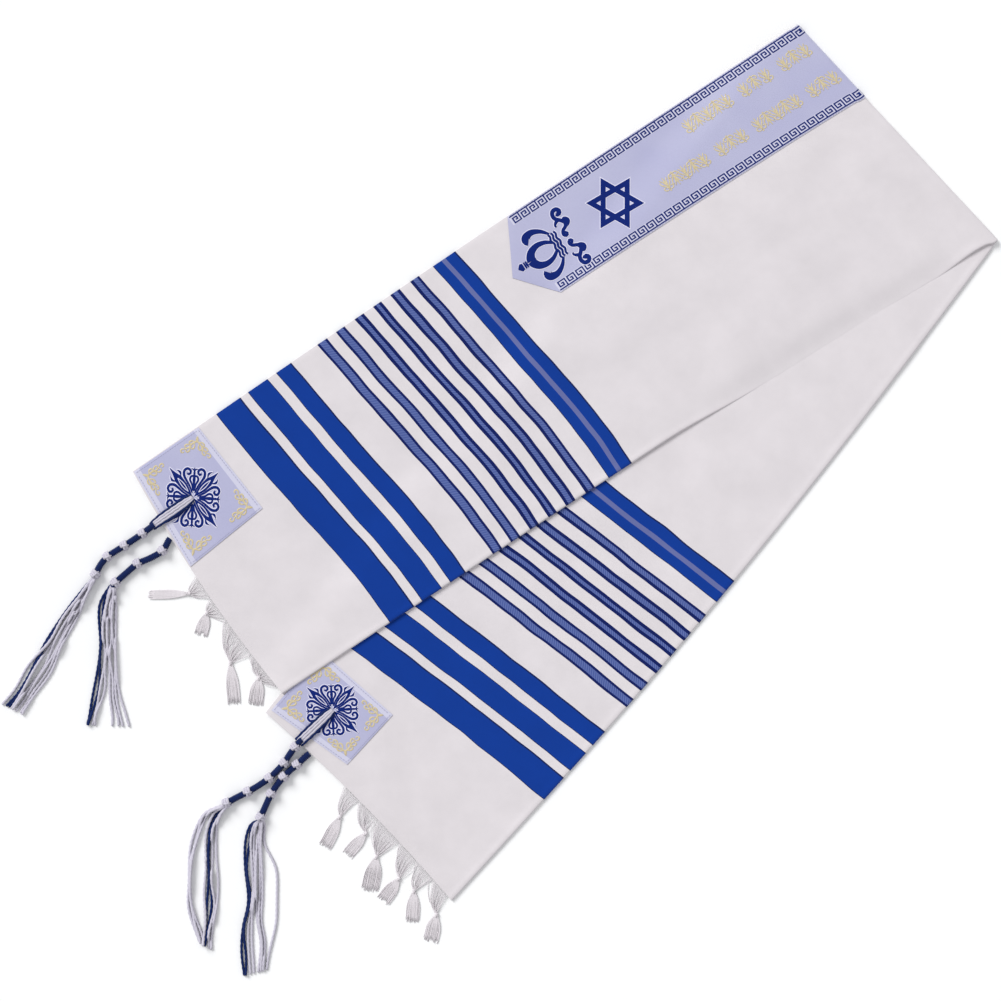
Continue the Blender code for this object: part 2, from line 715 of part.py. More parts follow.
def make_fringe(name, spec):
    """A band's fringe: small knotted tassels on a narrow strip just off the cloth's end."""
    band = spec["band"]
    outwards = end_out(band).to_3d()
    bm = bmesh.new()
    layers = (bm.verts.layers.float.new("number"), bm.verts.layers.float.new("up"))
    grid = new_grid(bm, 1, FRINGE_CELLS)
    middle = FLOOR_CLEARANCE + STRIP_HIGH / 2
    for (line, column), vertex in grid.items():
        across = spec["from"] + (spec["to"] - spec["from"]) * column / FRINGE_CELLS
        place = band_point(band, 1.0, across).to_3d() + outwards * (STRIP_GAP + STRIP_WIDE)
        vertex.co = place + Vector((0, 0, middle + (line - 0.5) * STRIP_HIGH))
        vertex[layers[0]] = column
        vertex[layers[1]] = 2 * line - 1
    outer = sorted(bm.faces, key=lambda face: sum(v[layers[0]] for v in face.verts))
    made = bmesh.ops.extrude_face_region(bm, geom=bm.faces[:])["geom"]
    inner = [g for g in made if isinstance(g, bmesh.types.BMVert)]
    bmesh.ops.translate(bm, vec=-outwards * STRIP_WIDE, verts=inner)
    for values in spec["tassels"]:
        row = dict(zip(FRINGE_COLUMNS, values))
        share = (row["along"] - spec["from"]) / (spec["to"] - spec["from"])
        first = round(share * FRINGE_CELLS - FRINGE_BASE / 2)
        first = min(max(first, 0), FRINGE_CELLS - FRINGE_BASE)
        last = first + FRINGE_BASE
        faces = outer[first:last]
        base = sum((face.calc_center_median() for face in faces), Vector()) / len(faces)
        knot = Vector((row["knot_x"], row["knot_y"], 0)) * MM
        tip = Vector((row["tip_x"], row["tip_y"], 0)) * MM
        end_side = Vector((outwards.y, -outwards.x, 0))
        faces_side = [face.calc_center_median() for face in (faces[0], faces[-1])]
        if (faces_side[1] - faces_side[0]).dot(end_side) < 0:
            end_side = -end_side
        forwards = (tip - knot).normalized()
        side = Vector((forwards.y, -forwards.x, 0))
        if side.dot(end_side) < 0:
            side = -side
        base_width = (faces_side[1] - faces_side[0]).length
        start = Vector((base.x, base.y, 0))
        webs = (
            (0.50, end_side, base_width * 0.8, STRIP_HIGH * 0.7),
            (0.88, side, FRINGE_KNOT * 0.62, STRIP_HIGH),
            (1.00, side, FRINGE_KNOT, FRINGE_KNOT * 0.8),
        )
        for part, across, width, height in webs:
            centre = start.lerp(knot, part)
            centre.z = FLOOR_CLEARANCE + height / 2
            place = fringe_place(centre, across.normalized(), width, height, first, last)
            faces = extrude_group(bm, faces, layers, place)
        centre = knot + forwards * FRINGE_KNOT * 0.8
        centre.z = FLOOR_CLEARANCE + STRIP_HIGH * 0.6
        neck_width = FRINGE_KNOT * 0.8
        neck = fringe_place(centre, side, neck_width, STRIP_HIGH * 1.1, first, last)
        faces = extrude_group(bm, faces, layers, neck)
        for face in faces:
            number = sum(v[layers[0]] for v in face.verts) / 4
            order = (number - first) / (last - first) - 0.5
            sections = []
            for step in range(1, FRINGE_STEPS + 1):
                part = step / FRINGE_STEPS
                width = neck_width + (row["spread"] * MM - neck_width) * part
                place = centre.lerp(tip, part) + side * order * width
                place.z = FLOOR_CLEARANCE + STRIP_HIGH * 0.45
                sections.append((place, side, 0.9 * MM + 0.4 * MM * part, STRIP_HIGH * 0.9))
            extrude_strand(bm, face, layers, sections)
    for layer_name in ("number", "up"):
        bm.verts.layers.float.remove(bm.verts.layers.float[layer_name])
    finish_object(name, bm, "fringe")


for old in list(bpy.data.objects):
    bpy.data.objects.remove(old, do_unlink=True)

make_cloth()
make_neckband()
for which in PATCH_CORNERS:
    make_patch(which)
for tassel_name, tassel in TASSELS.items():
    make_tassel(tassel_name, tassel)
for fringe_name, fringe in FRINGES.items():
    make_fringe(fringe_name, fringe)
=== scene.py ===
# %% [markdown]
# # A prayer shawl folded flat
#
# A tallit is one long rectangle of woven cloth. Blue stripes are woven in near both ends, a satin
# neckband is sewn to the long edge that goes round the neck, each corner has a satin patch with a
# knotted tassel through a hole, and the warp of both ends is left as a knotted fringe.
# Here it lies folded lengthwise, then crosswise, on a pale table, seen from straight above.

# %% Load the measured model
import math
import random

import bmesh
import bpy
from mathutils import Matrix, Vector, noise


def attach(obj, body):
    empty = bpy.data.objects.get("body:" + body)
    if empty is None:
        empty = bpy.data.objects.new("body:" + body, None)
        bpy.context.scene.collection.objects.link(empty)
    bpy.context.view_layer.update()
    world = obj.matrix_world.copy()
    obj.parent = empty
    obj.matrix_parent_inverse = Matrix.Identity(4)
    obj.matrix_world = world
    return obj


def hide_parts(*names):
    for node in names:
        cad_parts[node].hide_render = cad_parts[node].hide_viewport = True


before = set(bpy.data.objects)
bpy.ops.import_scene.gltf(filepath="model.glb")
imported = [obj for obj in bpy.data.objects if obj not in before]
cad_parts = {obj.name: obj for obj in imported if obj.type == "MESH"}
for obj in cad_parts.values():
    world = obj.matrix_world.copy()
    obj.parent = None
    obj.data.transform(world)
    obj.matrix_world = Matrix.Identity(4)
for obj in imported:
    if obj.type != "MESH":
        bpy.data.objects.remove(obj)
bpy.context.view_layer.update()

MM = 0.001
scene = bpy.context.scene

# %% [markdown]
# The camera looks straight down through a long lens from 4 m, so that the flat cloth keeps its
# proportions. The lens is worked out from the width that the picture covers.

# %% Camera
PICTURE_WIDE = 1001 * 1.085 * MM
CAMERA_HIGH = 4.0

camera_data = bpy.data.cameras.new("camera")
camera_data.sensor_width = 36.0
camera_data.lens = 36.0 * CAMERA_HIGH / PICTURE_WIDE
camera = bpy.data.objects.new("camera", camera_data)
scene.collection.objects.link(camera)
camera.location = (0.0, 0.0, CAMERA_HIGH)
scene.camera = camera
print("lens", round(camera_data.lens, 1), "mm")

# %% [markdown]
# Light: one wide, soft sun from the upper left gives each fold a gentle shadow on its lower right
# side, and an even pale sky fills the rest. A strong single lamp would make hard shadows that a
# product picture doesn't have. The Standard view keeps the white table white.

# %% Light and table
scene.view_settings.view_transform = "Standard"
world = bpy.data.worlds.new("soft_sky")
world.use_nodes = True
world.node_tree.nodes["Background"].inputs["Color"].default_value = (0.97, 0.98, 1.0, 1.0)
world.node_tree.nodes["Background"].inputs["Strength"].default_value = 0.62
scene.world = world

sun_data = bpy.data.lights.new("window_side", "SUN")
sun_data.energy = 2.35
sun_data.angle = math.radians(28)
sun = bpy.data.objects.new("window_side", sun_data)
sun.rotation_euler = Vector((-0.62, 0.66, 0.75)).to_track_quat("Z", "Y").to_euler()
scene.collection.objects.link(sun)


def new_object(name, bm):
    """Turn a bmesh into an object at the origin."""
    mesh = bpy.data.meshes.new(name)
    bm.to_mesh(mesh)
    bm.free()
    made = bpy.data.objects.new(name, mesh)
    scene.collection.objects.link(made)
    return made


bm = bmesh.new()
bmesh.ops.create_grid(bm, x_segments=2, y_segments=2, size=3.0)
table = new_object("table", bm)
print("table", [round(side, 1) for side in table.dimensions])

# %% [markdown]
# Colours are written as the eye reads them, 0 to 255, and turned into the linear values that the
# shader works in. The light here is a little stronger than 1, so each colour is divided by it.

# %% Colours and node helpers
LIGHT_LEVEL = 1.09


def paint(red, green, blue):
    """Linear colour for the shader from one as the eye reads it."""
    values = []
    for part in (red, green, blue):
        part = part / 255
        linear = part / 12.92 if part <= 0.04045 else ((part + 0.055) / 1.055) ** 2.4
        values.append(min(linear / LIGHT_LEVEL, 1.0))
    return (*values, 1.0)


CLOTH_WHITE = paint(229, 223, 226)
ROYAL = paint(2, 57, 151)
ROYAL_EDGE = paint(12, 34, 92)
NAVY = paint(4, 25, 94)
TWILL_LIGHT = paint(108, 124, 181)
TWILL_DARK = paint(54, 74, 146)
GREY_LILAC = paint(104, 112, 166)
SATIN = paint(191, 191, 219)
SATIN_LIGHT = paint(212, 211, 232)
SATIN_SHADE = paint(175, 175, 211)


def new_material(name, roughness, sheen=0.0, specular=0.15):
    """A material with its shader, ready for its nodes."""
    made = bpy.data.materials.new(name)
    made.use_nodes = True
    shader = made.node_tree.nodes["Principled BSDF"]
    shader.inputs["Roughness"].default_value = roughness
    shader.inputs["Sheen Weight"].default_value = sheen
    shader.inputs["Specular IOR Level"].default_value = specular
    return made, made.node_tree, shader


def add_node(tree, kind, **values):
    """Add a node, set its properties, and set or link its inputs by number or name."""
    made = tree.nodes.new(kind)
    inputs = values.pop("inputs", {})
    for name, value in values.items():
        setattr(made, name, value)
    for name, value in inputs.items():
        if isinstance(value, bpy.types.NodeSocket):
            tree.links.new(value, made.inputs[name])
        else:
            made.inputs[name].default_value = value
    return made


def math_node(tree, operation, first, second=0.0):
    """A Math node's result."""
    return add_node(tree, "ShaderNodeMath", operation=operation, inputs={0: first, 1: second}).outputs[0]


def times(tree, first, second):
    """Product of two values of a material."""
    return math_node(tree, "MULTIPLY", first, second)


def plus(tree, first, second):
    """Sum of two values of a material."""
    return math_node(tree, "ADD", first, second)


def waves(tree, distance, pitch):
    """Soft lines across a distance, 0 to 1, this far apart."""
    sine = math_node(tree, "SINE", times(tree, distance, 2 * math.pi / pitch))
    return times(tree, plus(tree, sine, 1.0), 0.5)


def add_noise(tree, vector, scale, detail=2.0, roughness=0.5):
    """A Noise node's value."""
    inputs = {"Vector": vector, "Scale": scale, "Detail": detail, "Roughness": roughness}
    return add_node(tree, "ShaderNodeTexNoise", inputs=inputs).outputs["Fac"]


def add_bump(tree, shader, height, strength, distance):
    """Give the shader a fine relief."""
    inputs = {"Strength": strength, "Distance": distance, "Height": height}
    bump = add_node(tree, "ShaderNodeBump", inputs=inputs)
    tree.links.new(bump.outputs["Normal"], shader.inputs["Normal"])


def flat_coords(tree):
    """A piece's own UV, in metres on the flat cloth: the whole, and its two numbers."""
    uv = add_node(tree, "ShaderNodeUVMap", uv_map="flat_cloth").outputs[0]
    parts = add_node(tree, "ShaderNodeSeparateXYZ", inputs={0: uv})
    return uv, parts.outputs[0], parts.outputs[1]


def mix_colour(tree, factor, first, second, blend="MIX"):
    """A colour Mix node's result."""
    made = add_node(tree, "ShaderNodeMix", data_type="RGBA", blend_type=blend)
    for socket, value in ((made.inputs[0], factor), (made.inputs[6], first), (made.inputs[7], second)):
        if isinstance(value, bpy.types.NodeSocket):
            tree.links.new(value, socket)
        else:
            socket.default_value = value
    return made.outputs[2]


print("cloth white", [round(part, 3) for part in CLOTH_WHITE])

# %% [markdown]
# Plain weave is the effect that most of these pieces share: threads that go over and under each
# other. One node group makes it from a checkerboard of two sets of rounded threads, and each
# material gives it its own thread count. It puts out a height for the Bump node and a soft
# variation of tone, which is all that a group should hand on.

# %% Weave group
weave = bpy.data.node_groups.new("plain_weave", "ShaderNodeTree")
weave.interface.new_socket("Vector", in_out="INPUT", socket_type="NodeSocketVector")
weave.interface.new_socket("Threads", in_out="INPUT", socket_type="NodeSocketFloat")
weave.interface.new_socket("Height", in_out="OUTPUT", socket_type="NodeSocketFloat")
weave.interface.new_socket("Tone", in_out="OUTPUT", socket_type="NodeSocketFloat")
group_in = add_node(weave, "NodeGroupInput")
group_out = add_node(weave, "NodeGroupOutput")
parts = add_node(weave, "ShaderNodeSeparateXYZ", inputs={0: group_in.outputs["Vector"]})
threads = group_in.outputs["Threads"]
turns = times(weave, threads, math.pi)
rounded = []
for side in (0, 1):
    across_thread = times(weave, parts.outputs[side], turns)
    rounded.append(math_node(weave, "ABSOLUTE", math_node(weave, "SINE", across_thread)))
checks = add_node(weave, "ShaderNodeTexChecker", inputs={
    "Vector": group_in.outputs["Vector"], "Scale": threads, "Color1": (0, 0, 0, 1), "Color2": (1, 1, 1, 1),
})
over = add_node(
    weave, "ShaderNodeMix", data_type="FLOAT",
    inputs={0: checks.outputs["Fac"], 2: rounded[0], 3: rounded[1]},
)
weave.links.new(over.outputs[0], group_out.inputs["Height"])
slubs = add_noise(weave, group_in.outputs["Vector"], 22.0, 3.0, 0.6)
weave.links.new(slubs, group_out.inputs["Tone"])


def add_weave(tree, shader, vector, threads, depth):
    """Put the weave group in a material, feed its bump, and return its tone."""
    inputs = {"Vector": vector, "Threads": threads}
    made = add_node(tree, "ShaderNodeGroup", node_tree=weave, inputs=inputs)
    add_bump(tree, shader, made.outputs["Height"], depth, 0.3 * MM)
    return made.outputs["Tone"]


print("weave group", len(weave.nodes), "nodes")

# %% Table finish
table_finish, tree, shader = new_material("white_table", roughness=0.9, specular=0.5)
grain = add_noise(tree, add_node(tree, "ShaderNodeTexCoord").outputs["Object"], 3.0)
tint = mix_colour(tree, grain, (0.93, 0.93, 0.93, 1.0), (0.95, 0.95, 0.95, 1.0))
tree.links.new(tint, shader.inputs["Base Color"])
table.data.materials.append(table_finish)
print("table finish", table_finish.name)

# %% [markdown]
# ## Where the cloth lies
#
# The plan of the folded cloth is set by its long edges. Each band is a little fan of straight
# lines between its open edge and its folded edge, from the crosswise fold to the band's end.
# These are the same values as in the measured model, so every piece below fits it.

# %% Plan of the two bands
FOLD_CORNER = Vector((0.5398, 0.2821))
FOLD_LENGTH = 0.3197
FOLD_HEADING = 133.01
LONG_EDGES = {
    "upper_open": {"length": 0.8681, "heading": 213.92, "bow": 0.003, "power": 1.0},
    "upper_folded": {"length": 0.9184, "heading": 212.36, "bow": -0.010, "power": 0.6},
    "lower_open": {"length": 0.9425, "heading": 232.32, "bow": 0.0, "power": 1.0},
    "lower_folded": {"length": 0.9294, "heading": 230.40, "bow": 0.015, "power": 1.0},
}
END_BOW = {"upper": 0.007, "lower": -0.005}


def heading(degrees):
    """Unit vector in the plan at this many degrees from +X."""
    return Vector((math.cos(math.radians(degrees)), math.sin(math.radians(degrees))))


def right_of(ahead):
    """Level unit vector to the right of a direction."""
    return Vector((ahead.y, -ahead.x, 0)).normalized()


def ease(share):
    """0 to 1 with flat ends, and held outside them."""
    share = min(max(share, 0.0), 1.0)
    return share * share * (3 - 2 * share)


FOLD_TOP = FOLD_CORNER + heading(FOLD_HEADING) * FOLD_LENGTH
EDGE_STEPS = {name: heading(edge["heading"]) * edge["length"] for name, edge in LONG_EDGES.items()}
EDGE_OUTS = {
    name: heading(edge["heading"] + (-90 if name.endswith("open") else 90)) * edge["bow"]
    for name, edge in LONG_EDGES.items()
}


def long_edge_point(name, share):
    """Point of a long edge, this share of the way from the crosswise fold to the band's end."""
    start = FOLD_TOP if name.endswith("open") else FOLD_CORNER
    bow = math.sin(math.pi * max(share, 0.0) ** LONG_EDGES[name]["power"])
    return start + EDGE_STEPS[name] * share + EDGE_OUTS[name] * bow


def end_out(band):
    """Direction that a band's end faces, in the plan."""
    along_end = long_edge_point(f"{band}_folded", 1.0) - long_edge_point(f"{band}_open", 1.0)
    return Vector((along_end.y, -along_end.x)).normalized()


END_OUTS = {band: end_out(band) for band in ("upper", "lower")}


def band_point(band, along, across):
    """Point of a band in the plan: share of its length, and share from open to folded edge."""
    first = long_edge_point(f"{band}_open", along)
    second = long_edge_point(f"{band}_folded", along)
    bow = END_BOW[band] * 4 * across * (1 - across) * along**4
    return first.lerp(second, across) + END_OUTS[band] * bow


def band_length(band, across):
    """Length of a band along this share of its width."""
    lengths = [LONG_EDGES[f"{band}_{side}"]["length"] for side in ("open", "folded")]
    return lengths[0] + (lengths[1] - lengths[0]) * across


print("upper band's end", [round(number, 3) for number in band_point("upper", 1.0, 0.5)])

# %% [markdown]
# ## How the four plies stack
#
# On the real shawl the lengthwise fold makes two plies, and the crosswise fold stacks them to
# four. One sheet is bent through both folds, so nothing has to be hidden where plies meet: a
# point of the flat cloth is given by its distance along from the crosswise fold and its distance
# from the lengthwise fold, and a few lines of sums say where it ends up. Cloth simulation could
# drape it too, but it wouldn't keep the neat, pressed fold lines that the photo shows.

# %% Heights of the plies
BAND = 3.6 * MM  # two plies with the air between them
SHEET = 0.96 * MM  # the cloth itself
TURN = BAND / 2  # radius of the crosswise fold, at the middle of a band
PLY_OFFSET = (BAND - SHEET) / 2  # from the middle of a band to the middle of a ply
DROP = 45 * MM  # how far the upper band takes to come down beside the lower one
CLOTH_LONG = 1.83
CLOTH_WIDE = 0.60
OVER_DIRECTION = heading(LONG_EDGES["lower_open"]["heading"] + 90)
RIDGES = (
    # band, both ends as share along and share across, width and height in metres
    ("upper", 0.02, 0.55, 0.30, 0.80, 0.030, 0.0009),
    ("upper", 0.10, 0.45, 0.42, 0.62, 0.036, 0.0008),
    ("upper", 0.50, 0.15, 0.66, 0.50, 0.030, 0.0009),
    ("upper", 0.58, 0.60, 0.72, 0.92, 0.026, 0.0008),
    ("lower", 0.18, 0.95, 0.46, 0.72, 0.034, 0.0009),
    ("lower", 0.52, 0.90, 0.70, 0.70, 0.028, 0.0008),
)
RIDGES_END = (0.68, 0.12)  # share along where they begin to die out, and how long that takes
RIDGE_LINES = [
    (band, band_point(band, a1, c1), band_point(band, a2, c2) - band_point(band, a1, c1), wide, high)
    for band, a1, c1, a2, c2, wide, high in RIDGES
]


def over_lower(point):
    """1 where the lower band lies beneath this point, easing to 0 beside it."""
    return ease(1 + (point - FOLD_TOP).dot(OVER_DIRECTION) / DROP)


def ridge_height(band, along, point):
    """Height of the low ridges in the cloth at this place."""
    height = 0.0
    for name, start, line, wide, high in RIDGE_LINES:
        if name != band:
            continue
        share = min(max((point - start).dot(line) / line.length_squared, 0.0), 1.0)
        away = (point - start - line * share).length / wide
        height += high * math.exp(-away * away)
    return height * (1 - ease((along - RIDGES_END[0]) / RIDGES_END[1]))


def ripple(point):
    """Small soft unevenness of cloth that has been folded and carried."""
    broad = noise.noise((point.x * 9, point.y * 9, 0.3))
    fine = noise.noise((point.x * 26, point.y * 26, 4.1))
    return (0.34 * broad + 0.12 * fine) * MM


def bend(distance, radius):
    """How far in from a fold's outer line, and how far from its middle, a ply lies."""
    angle = distance / radius
    if angle < math.pi / 2:
        return radius * (1 - math.cos(angle)), radius * math.sin(angle)
    return distance - radius * (math.pi / 2 - 1), radius


FOLD_INSET = TURN + PLY_OFFSET + SHEET / 2
LONG_INSET = FOLD_INSET + CLOTH_LONG / 2 - TURN * math.pi / 2
ACROSS_INSET = SHEET / 2 + bend(CLOTH_WIDE / 2, PLY_OFFSET)[0]
CREASE_OUT = 6 * MM  # how far the pressed part of the upper band's folded edge runs out
CREASE_WIDE = 26 * MM
CREASE_APART = 0.12 * MM  # how far the pressed plies keep apart
CREASE_STARTS = (0.02, 0.07)  # share along where it starts, and how long that takes
CREASE_ENDS = (0.32, 0.14)
TURN_BLEND = 14 * MM  # nearer to the crosswise fold than this, the fold's own line rules
SETTLE = 30 * MM  # nearer than this, the unevenness of the cloth dies out
# height, distance from the fold, and width of the soft rolls along both kinds of fold
LONG_ROLL = (0.5 * MM, 3.5 * MM, 3 * MM)
CROSS_ROLL = (0.45 * MM, 6 * MM, 4 * MM)


def roll(distance, high, middle, wide):
    """Height of a soft roll at this distance from its fold."""
    return high * math.exp(-(((distance - middle) / wide) ** 2))


def crease_share(along):
    """How far the upper band's folded edge is pressed to a soft crease here."""
    started = ease((along - CREASE_STARTS[0]) / CREASE_STARTS[1])
    return started * (1 - ease((along - CREASE_ENDS[0]) / CREASE_ENDS[1]))


print("inset of the crosswise fold", round(FOLD_INSET / MM, 2), "mm")


# %% The folding sum
def cloth_shares(a, b):
    """Band, share along and share across of a place of the flat cloth."""
    band = "upper" if a >= 0 else "lower"
    distance = abs(a)
    across = 1 - (SHEET / 2 + bend(abs(b), PLY_OFFSET)[0]) / ACROSS_INSET
    if distance < TURN * math.pi / 2:
        return band, FOLD_INSET * distance / (TURN * math.pi / 2) / LONG_INSET, across
    return band, (FOLD_INSET + distance - TURN * math.pi / 2) / LONG_INSET, across


def folded_place(a, b, raised=0.0):
    """Where a place of the flat cloth lies: a from the crosswise fold, b from the lengthwise one.

    b is positive on the ply that shows on the upper band. raised lifts the place off the cloth.
    """
    band, along, across = cloth_shares(a, b)
    outer = 1 if b >= 0 else -1
    fold_in, lift = bend(abs(b), PLY_OFFSET)
    offset = outer * (lift + raised)
    angle = abs(a) / TURN
    if angle < math.pi / 2:
        inset = FOLD_INSET - (TURN + offset) * math.cos(angle)
        high = (TURN + offset) * math.sin(angle)
    else:
        inset = FOLD_INSET + abs(a) - TURN * math.pi / 2
        high = TURN + offset
    own = band_point(band, inset / LONG_INSET, across)
    fold_line = FOLD_TOP.lerp(FOLD_CORNER, across) + heading(FOLD_HEADING + 90) * inset
    point = fold_line.lerp(own, ease(inset / TURN_BLEND))
    shows = (b >= 0) == (band == "upper")
    settle = ease(inset / SETTLE)
    swell = roll(inset, *CROSS_ROLL) if band == "upper" and b >= 0 else 0.0
    if band == "upper":
        pressed = crease_share(along)
        edge_in = SHEET / 2 + fold_in
        shift = CREASE_OUT * pressed * max(0.0, 1 - edge_in / CREASE_WIDE)
        out = heading(LONG_EDGES["upper_folded"]["heading"] + 90)
        point = point + out * shift
        sunk = 1 - pressed * (1 - ease((edge_in + 1 * MM) / CREASE_WIDE))
        flat = -SHEET / 2 + CREASE_APART * offset / PLY_OFFSET
        high = flat + (high - flat) * sunk
        z = BAND * over_lower(point) + high
        bead = roll(edge_in, *LONG_ROLL) * (1 - pressed) * settle
    else:
        z = BAND - high
        bead = roll(fold_in, *LONG_ROLL) * settle
    if shows:
        relief = bead + ridge_height(band, along, point) + ripple(point) * settle
        z += relief * min(lift / PLY_OFFSET, 1.0)
        z += swell
    return Vector((point.x, point.y, z))


for name, a, b in (("upper end", 0.915, 0.15), ("fold", 0.0, 0.15), ("lower end", -0.915, -0.15)):
    print(name, [round(number, 4) for number in folded_place(a, b)])

# %% [markdown]
# The sheet itself is one grid. Its lines stand close together where it turns round a fold and
# further apart where it lies flat, and Solidify gives the cloth its thickness at the end.
# The UV map holds real distances: how far a place is from the shawl's end, counted along the
# slightly skewed stripes, and how far it is from the lengthwise fold.

# %% Cloth
STRIPE_SKEW = 39 * MM
STRIPE_BOW = 9 * MM
CELL = 6.5 * MM  # size of the grid's cells where the cloth lies flat
FOLD_STEPS = (1.2, 2.6, 4.2, 6.5, 9.5, 13.0, 18.0)  # mm from a turn, wider and wider


def fold_lines(half, fold_radius):
    """Distances from one raw edge to the other, close together at the fold in the middle."""
    turn = fold_radius * math.pi / 2
    near = [turn * share / 4 for share in range(5)] + [turn + more * MM for more in FOLD_STEPS]
    count = round((half - near[-1]) / CELL)
    far = [near[-1] + (half - near[-1]) * share / count for share in range(1, count + 1)]
    distances = near + far
    return [-distance for distance in reversed(distances[1:])] + distances


def stripe_place(a, b):
    """Distance from the shawl's end, measured along the skew of the stripes.

    Near the upper band's folded edge the cloth is pulled a little, which bows the stripes.
    """
    band, along, across = cloth_shares(a, b)
    pulled = STRIPE_BOW * max(0.0, (across - 0.6) / 0.4) ** 2 if band == "upper" else 0.0
    return (1 - along) * band_length(band, across) - STRIPE_SKEW * across + pulled


def grid_piece(name, a_lines, b_lines, place, uv_place):
    """An object made from one grid, with each vertex and UV placed by its two numbers."""
    bm = bmesh.new()
    columns = len(a_lines) - 1
    rows = len(b_lines) - 1
    bmesh.ops.create_grid(bm, x_segments=columns, y_segments=rows, size=0.5)
    uv_layer = bm.loops.layers.uv.new("flat_cloth")
    numbers = {}
    for vertex in bm.verts:
        column = round((vertex.co.x + 0.5) * columns)
        row = round((vertex.co.y + 0.5) * rows)
        numbers[vertex] = (a_lines[column], b_lines[row])
    uvs = {vertex: uv_place(a, b) for vertex, (a, b) in numbers.items()}
    for face in bm.faces:
        for loop in face.loops:
            loop[uv_layer].uv = uvs[loop.vert]
    for vertex, (a, b) in numbers.items():
        vertex.co = place(a, b)
    return new_object(name, bm)


def add_thickness(piece, thickness):
    """Give a sheet its thickness, half to each side."""
    solid = piece.modifiers.new("thickness", "SOLIDIFY")
    solid.thickness = thickness
    solid.offset = 0.0
    solid.use_even_offset = False
    piece.data.shade_smooth()
    piece.modifiers.new("flat_faces", "WEIGHTED_NORMAL")


a_lines = fold_lines(CLOTH_LONG / 2, TURN)
b_lines = fold_lines(CLOTH_WIDE / 2, PLY_OFFSET)
shawl = grid_piece("shawl", a_lines, b_lines, folded_place, lambda a, b: (stripe_place(a, b), b))
add_thickness(shawl, SHEET)
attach(shawl, "root")
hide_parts("shawl_cloth")
print("cloth", len(shawl.data.polygons), "cells")

# %% [markdown]
# The stripes are woven in, so they belong in the material, not on top of the cloth. A colour
# ramp with hard steps reads the distance from the end. One ramp holds at most 32 steps, so a
# second one takes the narrow stripes. The ramp's alpha marks the twill fillings, which get fine
# slanted lines of their own.

# %% Stripe tables
# first and last mm of each stripe, counted from the cloth's end
WIDE_STRIPES = ((109.0, 141.0), (150.5, 176.5), (187.4, 207.7))
NARROW_STRIPES = (
    (243.0, 255.4), (266.8, 278.2), (291.5, 302.7), (315.3, 325.5), (338.2, 350.1), (363.8, 375.0),
)
SPLIT_STRIPE = (393.1, 423.0)
SPLIT_LINE = (0.40, 0.57)  # the grey line in that stripe, as shares of its width
LINE = 1.3  # thin dark line at an edge, mm
NARROW_BORDER = 3.0
RAMP_TURN = 225.0  # the first ramp ends here, mm
RAMP_END = 450.0


def stripe_steps(first, last, edge, edge_wide, filling, alpha=1.0):
    """Where the colour changes in one stripe, mm: its edges, its filling, and the white after it."""
    return [
        (first, edge, 1.0), (first + edge_wide, filling, alpha),
        (last - edge_wide, edge, 1.0), (last, CLOTH_WHITE, 1.0),
    ]


wide_steps = [(0.0, CLOTH_WHITE, 1.0)]
for first, last in WIDE_STRIPES:
    wide_steps += stripe_steps(first, last, ROYAL_EDGE, LINE, ROYAL)
narrow_steps = [(RAMP_TURN, CLOTH_WHITE, 1.0)]
for first, last in NARROW_STRIPES:
    narrow_steps += stripe_steps(first, last, NAVY, NARROW_BORDER, TWILL_DARK, 0.0)
first, last = SPLIT_STRIPE
split_steps = stripe_steps(first, last, ROYAL_EDGE, LINE, ROYAL)
line_start, line_end = [first + share * (last - first) for share in SPLIT_LINE]
split_steps[2:2] = [(line_start, GREY_LILAC, 1.0), (line_end, ROYAL, 1.0)]
narrow_steps += split_steps


def add_steps(tree, distance, steps, start, end):
    """A ramp of hard colour steps over distances in mm."""
    share = add_node(
        tree, "ShaderNodeMapRange",
        inputs={"Value": distance, "From Min": start * MM, "From Max": end * MM},
    )
    made = add_node(tree, "ShaderNodeValToRGB", inputs={0: share.outputs[0]})
    made.color_ramp.interpolation = "CONSTANT"
    elements = made.color_ramp.elements
    while len(elements) > 1:
        elements.remove(elements[-1])
    for number, (at, colour, alpha) in enumerate(steps):
        position = (at - start) / (end - start)
        element = elements[0] if number == 0 else elements.new(position)
        element.position = position
        element.color = (*colour[:3], alpha)
    return made


print(len(wide_steps), "steps of wide stripes,", len(narrow_steps), "of narrow ones")

# %% Cloth finish
TWILL_PITCH = 2.6 * MM
CLOTH_THREADS = 1250.0  # threads in a metre
cloth_finish, tree, shader = new_material("striped_wool_cloth", roughness=0.86, sheen=0.12)
uv, from_end, from_fold = flat_coords(tree)
distance = from_end
for scale, detail, reach in ((14.0, 1.0, 4.1 * MM), (38.0, 0.0, 1.1 * MM)):
    wander = math_node(tree, "SUBTRACT", add_noise(tree, uv, scale, detail), 0.5)
    distance = plus(tree, distance, times(tree, wander, reach))
wide = add_steps(tree, distance, wide_steps, 0.0, RAMP_TURN)
narrow = add_steps(tree, distance, narrow_steps, RAMP_TURN, RAMP_END)
is_narrow = math_node(tree, "GREATER_THAN", distance, RAMP_TURN * MM)
stripes = mix_colour(tree, is_narrow, wide.outputs["Color"], narrow.outputs["Color"])
lines = waves(tree, plus(tree, from_end, from_fold), TWILL_PITCH)
twill = times(tree, lines, math_node(tree, "SUBTRACT", 1.0, narrow.outputs["Alpha"]))
twill = times(tree, twill, is_narrow)
stripes = mix_colour(tree, twill, stripes, TWILL_LIGHT)
tone = add_weave(tree, shader, uv, CLOTH_THREADS, 0.35)
shade = add_node(
    tree, "ShaderNodeMapRange",
    inputs={"Value": tone, "From Min": 0.3, "From Max": 0.7, "To Min": 0.955, "To Max": 1.03},
)
